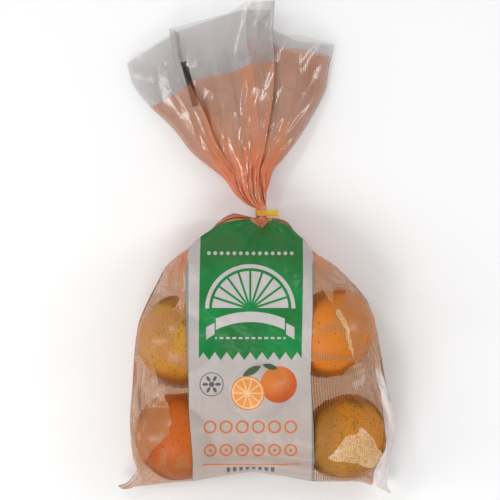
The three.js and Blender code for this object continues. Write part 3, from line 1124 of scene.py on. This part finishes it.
# %% Shapes for the print
class Ink:
    """Masks on the print, in millimetres, with edges about a quarter of a millimetre soft."""

    def __init__(self, tree, x, y, soft=0.22):
        self.tree, self.x, self.y, self.soft = tree, x, y, soft

    def below(self, value, limit):
        return 1 - value.ramp(limit - self.soft, limit + self.soft)

    def box(self, left, right, low, high):
        wide = self.below(abs(self.x - (left + right) / 2), (right - left) / 2)
        return wide * self.below(abs(self.y - (low + high) / 2), (high - low) / 2)

    def middle_box(self, middle, half, low, high):
        return self.box(middle - half, middle + half, low, high)

    def reach(self, cx, cy):
        dx, dy = self.x - cx, self.y - cy
        return (dx * dx + dy * dy).math("SQRT")

    def disc(self, cx, cy, radius):
        return self.below(self.reach(cx, cy), radius)

    def ring(self, cx, cy, radius, wide):
        return self.below(abs(self.reach(cx, cy) - radius), wide / 2)

    def wedges(self, cx, cy, count, inner, outer, gap):
        """Citrus segments: a disc cut by spokes of even width."""
        dx, dy = self.x - cx, self.y - cy
        angle = dy.math("ARCTAN2", dx)
        step = 2 * math.pi / count
        off = abs((angle / step).math("FRACT") - 0.5) * step
        to_spoke = (step / 2 - off).math("SINE") * self.reach(cx, cy)
        inside = self.below(self.reach(cx, cy), outer) * (1 - self.below(self.reach(cx, cy), inner))
        return inside * (1 - self.below(to_spoke, gap / 2))

    def leaf(self, cx, cy, length, wide, turn):
        """A leaf is where two discs overlap."""
        radius = (length**2 / 4 + wide**2 / 4) / wide
        back_off = radius - wide / 2
        ux, uy = -math.sin(turn), math.cos(turn)
        one = self.disc(cx + ux * back_off, cy + uy * back_off, radius)
        return one * self.disc(cx - ux * back_off, cy - uy * back_off, radius)


print("print shapes ready")

# %% The green field and its zigzag foot
PANEL_MIDDLE = -4.3
GREEN_HALF = 42.0
ZIGZAG_LINE = -88.8
ZIGZAG_DEPTH = 6.6
ZIGZAG_PITCH = 9.6
PAPER = (colour(181, 172, 168), colour(189, 182, 179))
PAPER_PAINTED_SHADE = colour(178, 162, 153)
GREEN = (colour(22, 110, 48), colour(2, 128, 60))
GREEN_PAINTED_SHEEN = colour(54, 106, 52)

label_material, tree = new_material("printed_panel")
x, y = tree.read("print_x"), tree.read("print_y")
ink = Ink(tree, x, y)
object_place = tree.place()
patchy = tree.noise(object_place, 30.0, 2.0)

paper = tree.mix(patchy.ramp(0.3, 0.7), *PAPER)
# The paper is painted darker towards the hem, as painted shade where the panel curves down.
paper = tree.mix(1 - y.ramp(-185, -90), paper, PAPER_PAINTED_SHADE)
green = tree.mix(patchy.ramp(0.35, 0.65), *GREEN)
# Towards the neck the green takes blotches of a duller, paler green, a painted sheen on the crumpled film
# there.
green = tree.mix(y.ramp(-30, 4) * patchy.ramp(0.3, 0.6), green, GREEN_PAINTED_SHEEN)
from_panel_middle = x - PANEL_MIDDLE
tooth = abs((from_panel_middle / ZIGZAG_PITCH).math("FRACT") - 0.5) * (2 * ZIGZAG_DEPTH)
zigzag = (y - (ZIGZAG_LINE - ZIGZAG_DEPTH / 2) - tooth).ramp(-0.25, 0.25)
field = zigzag * ink.below(abs(from_panel_middle - y.ramp(-90, 0)), GREEN_HALF)
base = tree.mix(field, paper, green)
print("green field", 2 * GREEN_HALF, "mm wide")

# %% White art on the green field: a half slice, a ribbon, dashes and dots
PRINT_WHITE = colour(192, 186, 184)
HALF_SLICE_FOOT = -50
HALF_SLICE = {"segments": 20, "heart": 5, "flesh": 31, "gap": 1.8, "rind": 35, "rind_width": 3.2}
RIBBON = {"centre": -124, "reach": 67.6, "half_width": 4.2, "half": 28}
RIBBON_ENDS = {"reach": 64.8, "from_middle": 32.5, "half": 3.4}
STROKE_PITCH = 5.2
STROKE_HALF = 1.5
DOTS_LINE = -4.5
# Half the length of a row of strokes, and where it starts and ends going up
DASH_ROW = (28.6, -74.7, -73.1)
DOT_ROW = (36.4, -8, 0)

above_foot = (y - (HALF_SLICE_FOOT + 0.5)).ramp(-0.2, 0.2)
white = ink.wedges(
    PANEL_MIDDLE, HALF_SLICE_FOOT, HALF_SLICE["segments"], HALF_SLICE["heart"],
    HALF_SLICE["flesh"], HALF_SLICE["gap"],
)
rind = ink.ring(PANEL_MIDDLE, HALF_SLICE_FOOT, HALF_SLICE["rind"], HALF_SLICE["rind_width"])
white = white.most(rind) * above_foot
ribbon_reach = ink.reach(PANEL_MIDDLE, RIBBON["centre"])
ribbon = ink.below(abs(ribbon_reach - RIBBON["reach"]), RIBBON["half_width"])
ribbon = ribbon * ink.below(abs(from_panel_middle), RIBBON["half"])
ends = ink.below(abs(ribbon_reach - RIBBON_ENDS["reach"]), RIBBON["half_width"])
from_ends = abs(abs(from_panel_middle) - RIBBON_ENDS["from_middle"])
ends = ends * ink.below(from_ends, RIBBON_ENDS["half"])
stroke = abs((from_panel_middle / STROKE_PITCH).math("FRACT") - 0.5) * STROKE_PITCH
dashes = ink.below(stroke, STROKE_HALF) * ink.middle_box(PANEL_MIDDLE, *DASH_ROW)
from_dots = y - DOTS_LINE
dots = ink.below((stroke * stroke + from_dots * from_dots).math("SQRT"), STROKE_HALF)
dots = dots * ink.middle_box(PANEL_MIDDLE, *DOT_ROW)
white = white.most(ribbon).most(ends).most(dashes).most(dots) * field
base = tree.mix(white, base, PRINT_WHITE)
print("half slice", 2 * HALF_SLICE["rind"], "mm across")

# %% A fruit, a slice, leaves and a flower on the foot
FRUIT_ORANGE = colour(214, 122, 54)
FRUIT_SHADE = colour(192, 84, 34)
RIND = colour(222, 190, 140)
FLESH = colour(222, 140, 66)
LEAF = colour(70, 92, 66)
INK_ORANGE = colour(205, 106, 46)
INK_GREY = colour(88, 88, 90)
FRUIT = (19, -112)
FRUIT_RADIUS = 15
SLICE = (-6.5, -119)
SLICE_RADIUS = 14
RIND_RADIUS = 12.8
SEGMENTS = (10, 1.4, 11.6, 1.0)
LEAVES = ((-3, -101, 17, 6, 0.5), (12, -97.5, 13, 4.6, -0.25))
FLOWER = (-36, -112)
FLOWER_RING = (9.5, 0.7)
FLOWER_HEART = 2.2
PETALS = 6
PETAL_REACH = 5.2

shade = ink.reach(FRUIT[0] - 4, FRUIT[1] + 5).ramp(6, 20)
fruit_colour = tree.mix(shade, FRUIT_ORANGE, FRUIT_SHADE)
base = tree.mix(ink.disc(*FRUIT, FRUIT_RADIUS), base, fruit_colour)
base = tree.mix(ink.disc(*SLICE, SLICE_RADIUS), base, FRUIT_ORANGE)
base = tree.mix(ink.disc(*SLICE, RIND_RADIUS), base, RIND)
base = tree.mix(ink.wedges(*SLICE, *SEGMENTS), base, FLESH)
base = tree.mix(ink.leaf(*LEAVES[0]).most(ink.leaf(*LEAVES[1])), base, LEAF)
flower = ink.ring(*FLOWER, *FLOWER_RING).most(ink.disc(*FLOWER, FLOWER_HEART))
for petal in range(PETALS):
    turn = petal * 2 * math.pi / PETALS
    petal_x = FLOWER[0] + PETAL_REACH * math.cos(turn)
    petal_y = FLOWER[1] + PETAL_REACH * math.sin(turn)
    flower = flower.most(ink.leaf(petal_x, petal_y, 5.4, 2.6, turn))
base = tree.mix(flower, base, INK_GREY)
print("a flower of", PETALS, "petals")

# %% Rows of rings, a rule and studs
RING_PITCH = 13.2
RING_COUNT = 6
RING_RADIUS = 4.6
RING_ROWS = {-147: 0.0, -166.5: 1.3}
RULE = (-44, 36, -178.4, -177.4)
STUD_HALF = 1.4
STUD_ROW = (20.8, -192, -180.5)
EDGE_LINE = colour(70, 92, 84)

bead = ((from_panel_middle / RING_PITCH).math("FRACT") - 0.5) * RING_PITCH
for row_y, heart in RING_ROWS.items():
    reach = (bead * bead + (y - row_y) * (y - row_y)).math("SQRT")
    rings = ink.below(abs(reach - RING_RADIUS), 0.75).most(ink.below(reach, heart))
    rings = rings * ink.middle_box(PANEL_MIDDLE, RING_PITCH * RING_COUNT / 2, row_y - 6, row_y + 6)
    base = tree.mix(rings, base, INK_ORANGE)
base = tree.mix(ink.box(*RULE), base, INK_ORANGE)
studs = ink.below(stroke, STUD_HALF) * ink.middle_box(PANEL_MIDDLE, *STUD_ROW)
base = tree.mix(studs, base, INK_GREY)
edge_line = abs(from_panel_middle).ramp(50.0, 50.4) * (1 - y.ramp(-16, -6))
base = tree.mix(edge_line * 0.6, base, EDGE_LINE)
print(len(RING_ROWS), "rows of", RING_COUNT, "rings")

# %% Panel shader
wave = tree.noise(object_place, 22.0, 1.5, {"noise_type": "RIDGED_MULTIFRACTAL"}, Roughness=0.4)
finish_material(tree, {
    "Base Color": base,
    "Roughness": 0.42,
    "IOR": 1.35,
    "Coat Weight": 0.1,
    "Coat Roughness": 0.16,
    "Normal": tree.bump(0.16, 0.001, wave),
})
label.data.materials.append(label_material)
print("panel material:", len(label_material.node_tree.nodes), "nodes")

# %% Back panel material
BACK_GREEN = colour(44, 112, 62)
BACK_WHITE = colour(205, 198, 197)
BACK_WHITE_HALF = 40
BACK_LINES = 9
BACK_LINE_PITCH = 8

back_material, tree = new_material("back_panel")
x, y = tree.read("print_x"), tree.read("print_y")
ink = Ink(tree, x, y)
base = tree.mix(ink.below(abs(x - PANEL_MIDDLE), BACK_WHITE_HALF), BACK_GREEN, BACK_WHITE)
for number in range(BACK_LINES):
    line_y = -96 - BACK_LINE_PITCH * number
    base = tree.mix(ink.box(-36, 26 - 5 * (number % 3), line_y - 1, line_y), base, INK_GREY)
finish_material(tree, {"Base Color": base, "Roughness": 0.4})
back_label.data.materials.append(back_material)
print("back panel with", BACK_LINES, "plain rules")

# %% [markdown]
# ## Peel
# The peel of an orange is mottled in two shades, with greenish patches, brown specks, scars and
# fine pores. It could be painted by hand, but noise and Voronoi cells at a few sizes give all of it
# without an image, and each orange gets shares of its own. Some peels also get painted rims, where
# a tint paints in light or shade near one or two sides as seen from above.

# %% Peel material
SPECK_COLOUR = colour(108, 62, 24)
SCAR_COLOUR = colour(126, 74, 28)
SPECKS = ((370.0, 1.0), (600.0, 0.8))
PORE_SCALE = 620.0
PORE_DEPTH_M = 0.0006
PAINTED_RIM_RAGGED_M = 0.02


def peel_material(name, warm, pale, green, pale_share, speck_share, *painted_rims):
    """A painted rim is a tint of painted light or painted shade near one side of the peel: an axis, where its
    tint is full, where it has faded out, and the tint.
    """
    made, tree = new_material(name)
    spot = tree.place()
    broad = tree.noise(spot, 24.0, 4.0, Roughness=0.6, Distortion=0.6)
    fine = tree.noise(spot, 95.0, 5.0, Roughness=0.65)
    mottled = (broad * 0.65 + fine * 0.35).ramp(0.62 - pale_share * 0.3, 0.70 - pale_share * 0.3)
    base = tree.mix(mottled, warm, pale)
    parts = tree.split(spot)
    for axis, full, faded, tint in painted_rims:
        side = parts[axis] + (broad - 0.5) * PAINTED_RIM_RAGGED_M
        base = tree.mix((1 - side.ramp(full, faded)) * 0.8, base, tint)
    base = tree.mix(fine.ramp(0.5, 0.62) * broad.ramp(0.42, 0.56) * 0.8, base, green)
    for scale, part in SPECKS:
        near, cell_colour, _ = tree.cells(spot, scale)
        chance = tree.add("ShaderNodeSeparateColor", None, {"Color": cell_colour})
        none = 1 - speck_share * part
        speck = (1 - near.ramp(0.2, 0.36)) * chance.ramp(none - 0.01, none + 0.01)
        base = tree.mix(speck * fine.ramp(0.38, 0.5) * 0.85, base, SPECK_COLOUR)
    scar = fine.ramp(0.6, 0.66) * broad.ramp(0.5, 0.6) * min(speck_share * 3, 1)
    base = tree.mix(scar * 0.75, base, SCAR_COLOUR)
    pores = tree.cells(spot, PORE_SCALE, 0.9)[0]
    dent = tree.bump(0.35, PORE_DEPTH_M, pores.ramp(0.0, 0.45))
    finish_material(tree, {"Base Color": base, "Roughness": 0.45, "IOR": 1.34, "Normal": dent})
    return made


print("specks of", len(SPECKS), "sizes")

# %% The five peels and the stem button
# The tints at the end of a peel's entry are painted rims: painted light along the lower rim of the upper
# right orange, and painted shade along the lower rims of the upper left and the two lower oranges and along
# the left rims of the two lower ones.
PEELS = {
    "orange_upper_left": peel_material(
        "yellow_peel", colour(200, 130, 26), colour(194, 140, 48), colour(170, 132, 30), 0.5, 0.46,
        (1, -0.112, -0.092, colour(176, 98, 22))),
    "orange_upper_right": peel_material(
        "orange_peel", colour(212, 120, 24), colour(220, 138, 48), colour(202, 122, 30), 0.25, 0.08,
        (1, -0.102, -0.088, colour(236, 134, 32))),
    "orange_lower_left": peel_material(
        "deep_peel", colour(194, 88, 8), colour(200, 106, 24), colour(158, 88, 26), 0.25, 0.26,
        (0, -0.088, -0.072, colour(156, 62, 10)), (1, -0.186, -0.166, colour(150, 76, 20))),
    "orange_lower_right": peel_material(
        "ochre_peel", colour(196, 124, 20), colour(184, 124, 38), colour(138, 102, 32), 0.45, 0.42,
        (0, 0.058, 0.074, colour(152, 102, 38)), (1, -0.188, -0.168, colour(154, 98, 28))),
    "orange_middle": peel_material(
        "middle_peel", colour(216, 116, 22), colour(220, 132, 38), colour(194, 118, 26), 0.2, 0.08),
}
BUTTON_GREEN = colour(92, 96, 44)
BUTTON_BROWN = colour(134, 118, 66)

button_material, tree = new_material("stem_button")
grain = tree.noise(tree.place(), 700.0, 3.0)
finish_material(tree, {
    "Base Color": tree.mix(grain.ramp(0.35, 0.65), BUTTON_GREEN, BUTTON_BROWN),
    "Roughness": 0.8,
})
print(len(PEELS), "peels")

# %% [markdown]
# ## Oranges
# An orange is a ball only at first sight: it is slightly lumpy, dented at the stem and at the
# navel, with a dry button where the stem was. It could be sculpted, but its shape follows a rule,
# so a Geometry Nodes tree makes all five, each with its own size, lean and seed, and the result
# is turned into a plain mesh. The tree works on a ball of radius 1 with the stem on top.

# %% A tree with named inputs
ORANGE_INPUTS = {
    "Radius": ("NodeSocketFloat", 0.0375),
    "Tallness": ("NodeSocketFloat", 1.0),
    "Lumps": ("NodeSocketFloat", 0.03),
    "Seed": ("NodeSocketFloat", 0.0),
    "Lean": ("NodeSocketVector", (0.0, 0.0, 0.0)),
    "Place": ("NodeSocketVector", (0.0, 0.0, 0.0)),
    "Peel": ("NodeSocketMaterial", None),
    "Button": ("NodeSocketMaterial", None),
}

ORANGE_TREE = bpy.data.node_groups.new("orange", "GeometryNodeTree")
ORANGE_TREE.interface.new_socket("Geometry", in_out="OUTPUT", socket_type="NodeSocketGeometry")
for name, (kind, value) in ORANGE_INPUTS.items():
    socket = ORANGE_TREE.interface.new_socket(name, in_out="INPUT", socket_type=kind)
    if value is not None:
        socket.default_value = value
tree = Tree(ORANGE_TREE)
inputs = ORANGE_TREE.nodes.new("NodeGroupInput")
given = {s.name: Wire(tree, s) for s in inputs.outputs if s.name}
position = tree.add("GeometryNodeInputPosition")
print("an orange takes", ", ".join(given))


# %% Body of an orange
def seeded_noise(seed, scale, detail):
    """Noise over the ball, with the seed as its fourth coordinate."""
    return tree.noise(position, scale, detail, {"noise_dimensions": "4D"}, W=seed)


def stretched(shape, reach):
    """Each point is moved out from the middle by its own reach."""
    grown = tree.vector("SCALE", {0: position, "Scale": reach})
    return tree.add("GeometryNodeSetPosition", None, {"Geometry": shape, "Position": grown})


def made_of(shape, material):
    return tree.add("GeometryNodeSetMaterial", None, {"Geometry": shape, "Material": material})


STEM_DENT = 0.055
NAVEL_DENT = 0.03
STEM_RIBS = 0.05
RIBS_SEED_STEP = 7.0

ball = tree.add("GeometryNodeMeshIcoSphere", None, {"Radius": 1.0, "Subdivisions": 6})
height = tree.split(position)[2]
lumps = seeded_noise(given["Seed"], 1.1, 2.0) - 0.5
ribs = seeded_noise(given["Seed"] + RIBS_SEED_STEP, 5.0, 1.0) - 0.5
reach = 1 + lumps * given["Lumps"] * 2
reach = reach - height.ramp(0.80, 1.0) * STEM_DENT - (-height).ramp(0.9, 1.0) * NAVEL_DENT
reach = reach + ribs * height.ramp(0.55, 0.95) * STEM_RIBS
body = made_of(stretched(ball, reach), given["Peel"])
print("body:", len(ORANGE_TREE.nodes), "nodes so far")


# %% Stem button, and the whole orange shaped, leaned and placed
def transformed(shape, **more):
    return tree.add("GeometryNodeTransform", None, {"Geometry": shape, **more})


BUTTON_RADIUS = 0.062
BUTTON_HEIGHT = 0.945
BUTTON_FLATNESS = 0.28

button = tree.add("GeometryNodeMeshIcoSphere", None, {"Radius": BUTTON_RADIUS, "Subdivisions": 3})
button = stretched(button, seeded_noise(given["Seed"], 30.0, 1.0) + 0.5)
button = transformed(button, Translation=(0, 0, BUTTON_HEIGHT), Scale=(1, 1, BUTTON_FLATNESS))
button = made_of(button, given["Button"])

joined = ORANGE_TREE.nodes.new("GeometryNodeJoinGeometry")
for half_made in (button, body):
    ORANGE_TREE.links.new(half_made.socket, joined.inputs[0])
radius = given["Radius"]
shape = tree.add("ShaderNodeCombineXYZ", None, {0: radius, 1: radius, 2: radius * given["Tallness"]})
whole = transformed(Wire(tree, joined.outputs[0]), Scale=shape)
whole = transformed(whole, Rotation=given["Lean"])
whole = transformed(whole, Translation=given["Place"])
whole = tree.add("GeometryNodeRealizeInstances", None, {"Geometry": whole})
whole = tree.add("GeometryNodeSetShadeSmooth", None, {"Geometry": whole})
output = ORANGE_TREE.nodes.new("NodeGroupOutput")
ORANGE_TREE.links.new(whole.socket, output.inputs[0])
print("orange tree:", len(ORANGE_TREE.nodes), "nodes")


# %% Grow the five oranges
LUMPINESS = 0.016


def grow_orange(name, seed):
    """The tree's result as a plain mesh, with no empty material slot left in it."""
    facts = ORANGES[name]
    holder = bpy.data.objects.new(name, bpy.data.meshes.new(name))
    bpy.context.collection.objects.link(holder)
    modifier = holder.modifiers.new("grow", "NODES")
    modifier.node_group = ORANGE_TREE
    radius = facts["across"] / 2
    values = {
        "Radius": radius * MM,
        "Tallness": facts["tall"],
        "Lumps": LUMPINESS,
        "Seed": float(seed),
        "Lean": facts["lean"],
        "Place": (facts["at"][0] * MM, facts["at"][1] * MM, (radius + ORANGE_LIFT) * MM),
        "Peel": PEELS[name],
        "Button": button_material,
    }
    for socket in ORANGE_TREE.interface.items_tree:
        if socket.in_out == "INPUT":
            modifier[socket.identifier] = values[socket.name]
    evaluated = holder.evaluated_get(bpy.context.evaluated_depsgraph_get())
    mesh = bpy.data.meshes.new_from_object(evaluated)
    holder.modifiers.remove(modifier)
    holder.data = mesh
    while None in list(mesh.materials):
        mesh.materials.pop(index=list(mesh.materials).index(None))
    return holder


oranges = [grow_orange(name, 3 * n + 1) for n, name in enumerate(ORANGES)]
for orange in oranges:
    indices = np.zeros(len(orange.data.polygons), int)
    orange.data.polygons.foreach_get("material_index", indices)
    print(orange.name, [m.name for m in orange.data.materials], "faces of each", np.bincount(indices))

# %% [markdown]
# ## Tape
# A short strip of yellow tape is wrapped round the neck and its ends are pressed together into a
# flag. The band looks darker than the flag, because the orange film shows through it.

# %% The strip of tape seen along the neck
TAPE = {"width": 5.2, "radius": 4.85, "flag": 9.4, "half_gap": 0.5, "thickness": 0.18}
BAND_POINTS = 56
FLAG_POINTS = 18
FLAG_PINCH = 0.55
FLAG_LIFT = 0.6


def tape_path():
    """Round the neck, then out to the right and back."""
    radius, half_gap = TAPE["radius"], TAPE["half_gap"]
    start = math.asin(half_gap / radius)
    turn = np.linspace(start, 2 * np.pi - start, BAND_POINTS)
    wobble = 1 + 0.03 * np.sin(3 * turn + 0.5)
    band_points = np.stack([np.cos(turn), np.sin(turn)], -1) * (radius * wobble)[:, None]
    out = np.linspace(radius, radius + TAPE["flag"], FLAG_POINTS)[1:]
    lift = FLAG_LIFT * np.sin((out - radius) / TAPE["flag"] * 2.6)
    upper = np.stack([out, half_gap * FLAG_PINCH + lift], -1)[::-1]
    lower = np.stack([out, -half_gap * FLAG_PINCH + lift], -1)
    return np.concatenate([upper, band_points, lower])


path = tape_path()
print("tape", round(float(np.hypot(*np.diff(path, axis=0).T).sum()), 1), "mm long")

# %% Tape mesh
TAPE_ROWS = 7
TAPE_LEAN = 0.02
FLAG_FROM = 3.2
FLAG_FADE = 1.2

tape_rows = []
middle_y = (NECK["top"] + NECK["bottom"]) / 2
for step in np.linspace(-0.5, 0.5, TAPE_ROWS):
    tape_rows.append(np.stack([
        NECK["x"] + path[:, 0],
        np.full(len(path), middle_y + step * TAPE["width"]) + TAPE_LEAN * path[:, 0],
        NECK["height"] + path[:, 1],
    ], -1))
tape_rows = np.array(tape_rows)
rows_count, path_count = tape_rows.shape[:2]
tape_faces = [
    [i * path_count + j, (i + 1) * path_count + j, (i + 1) * path_count + j + 1, i * path_count + j + 1]
    for i in range(rows_count - 1)
    for j in range(path_count - 1)
]
flag_share = np.broadcast_to(
    np.clip((path[:, 0] - FLAG_FROM) / FLAG_FADE, 0, 1), (rows_count, path_count)
)
tape = mesh_object("tape", tape_rows, tape_faces, {"flag": flag_share})
thick = tape.modifiers.new("thickness", "SOLIDIFY")
thick.thickness = TAPE["thickness"] * MM
thick.offset = 0

# %% Tape material
TAPE_BAND = colour(206, 146, 36)
TAPE_FLAG = colour(224, 188, 44)
TAPE_BLOTCH = colour(232, 206, 90)

tape_material, tree = new_material("yellow_tape")
blotch = tree.noise(tree.place(), 420.0, 2.0)
tape_colour = tree.mix(tree.read("flag"), TAPE_BAND, TAPE_FLAG)
tape_colour = tree.mix(blotch.ramp(0.62, 0.72) * 0.5, tape_colour, TAPE_BLOTCH)
finish_material(tree, {"Base Color": tape_colour, "Roughness": 0.4})
tape.data.materials.append(tape_material)
print("tape material:", len(tape_material.node_tree.nodes), "nodes")

# %% [markdown]
# ## Floor and light
# A plain pale floor lies under a pale sky. Glossy film looks like what it reflects, so each lamp
# has a task: a large soft one beyond the hem lights the whole, a small one beyond the tail lights
# its folds, and two long narrow ones at the sides draw glints along the folds of the film.

# %% Floor
FLOOR_SIZE_M = 6
FLOOR_DROP_M = 0.0004
FLOOR_WHITE = (0.93, 0.93, 0.93, 1)

bpy.ops.mesh.primitive_plane_add(size=FLOOR_SIZE_M, location=(0, 0, -FLOOR_DROP_M))
floor = bpy.context.object
floor.name = "floor"
floor_material, tree = new_material("floor")
finish_material(tree, {"Base Color": FLOOR_WHITE, "Roughness": 0.9})
floor.data.materials.append(floor_material)
print("floor", FLOOR_SIZE_M, "m wide")


# %% Lamps
def lamp(name, place_m, size, power, aim=(0.0, -0.06, 0.03)):
    data = bpy.data.lights.new(name, "AREA")
    data.shape = "RECTANGLE"
    data.size, data.size_y = size
    data.energy = power
    made = bpy.data.objects.new(name, data)
    bpy.context.collection.objects.link(made)
    made.location = place_m
    direction = np.array(aim) - np.array(place_m)
    made.rotation_euler = Vector(direction).to_track_quat("-Z", "Y").to_euler()
    return made


LAMPS = [
    lamp("beyond_hem", (-0.5, -1.25, 1.4), (0.9, 0.8), 11),
    lamp("beyond_tail", (-0.7, 0.8, 1.6), (0.4, 0.3), 4),
    lamp("left_side", (-1.4, -0.2, 0.9), (0.14, 1.3), 7),
    lamp("right_side", (1.4, 0.3, 1.0), (0.12, 1.2), 6),
]
print(len(LAMPS), "lamps of", sum(made.data.energy for made in LAMPS), "watts in all")

# %% Sky, and how many layers of film a ray may cross
SKY_WHITE = (1, 1, 1, 1)
SKY_STRENGTH = 0.56
LAYERS_A_RAY_CROSSES = 40

world = bpy.data.worlds.new("sky")
world.use_nodes = True
sky = world.node_tree.nodes["Background"].inputs
sky["Color"].default_value = SKY_WHITE
sky["Strength"].default_value = SKY_STRENGTH
bpy.context.scene.world = world
bpy.context.scene.view_settings.view_transform = "Standard"
bpy.context.scene.cycles.transparent_max_bounces = LAYERS_A_RAY_CROSSES
print("sky strength", SKY_STRENGTH)

# %% [markdown]
# ## Hand over to the frame
# Every piece rides on the one body of the pack, and the film and its fill stand for the solid bag.

# %% Attach every piece to the pack's body and hide the parts that they stand in for
for piece in (film, label, back_label, tape, *oranges):
    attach(piece, "root")
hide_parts("bag")
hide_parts("label")
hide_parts("tie")
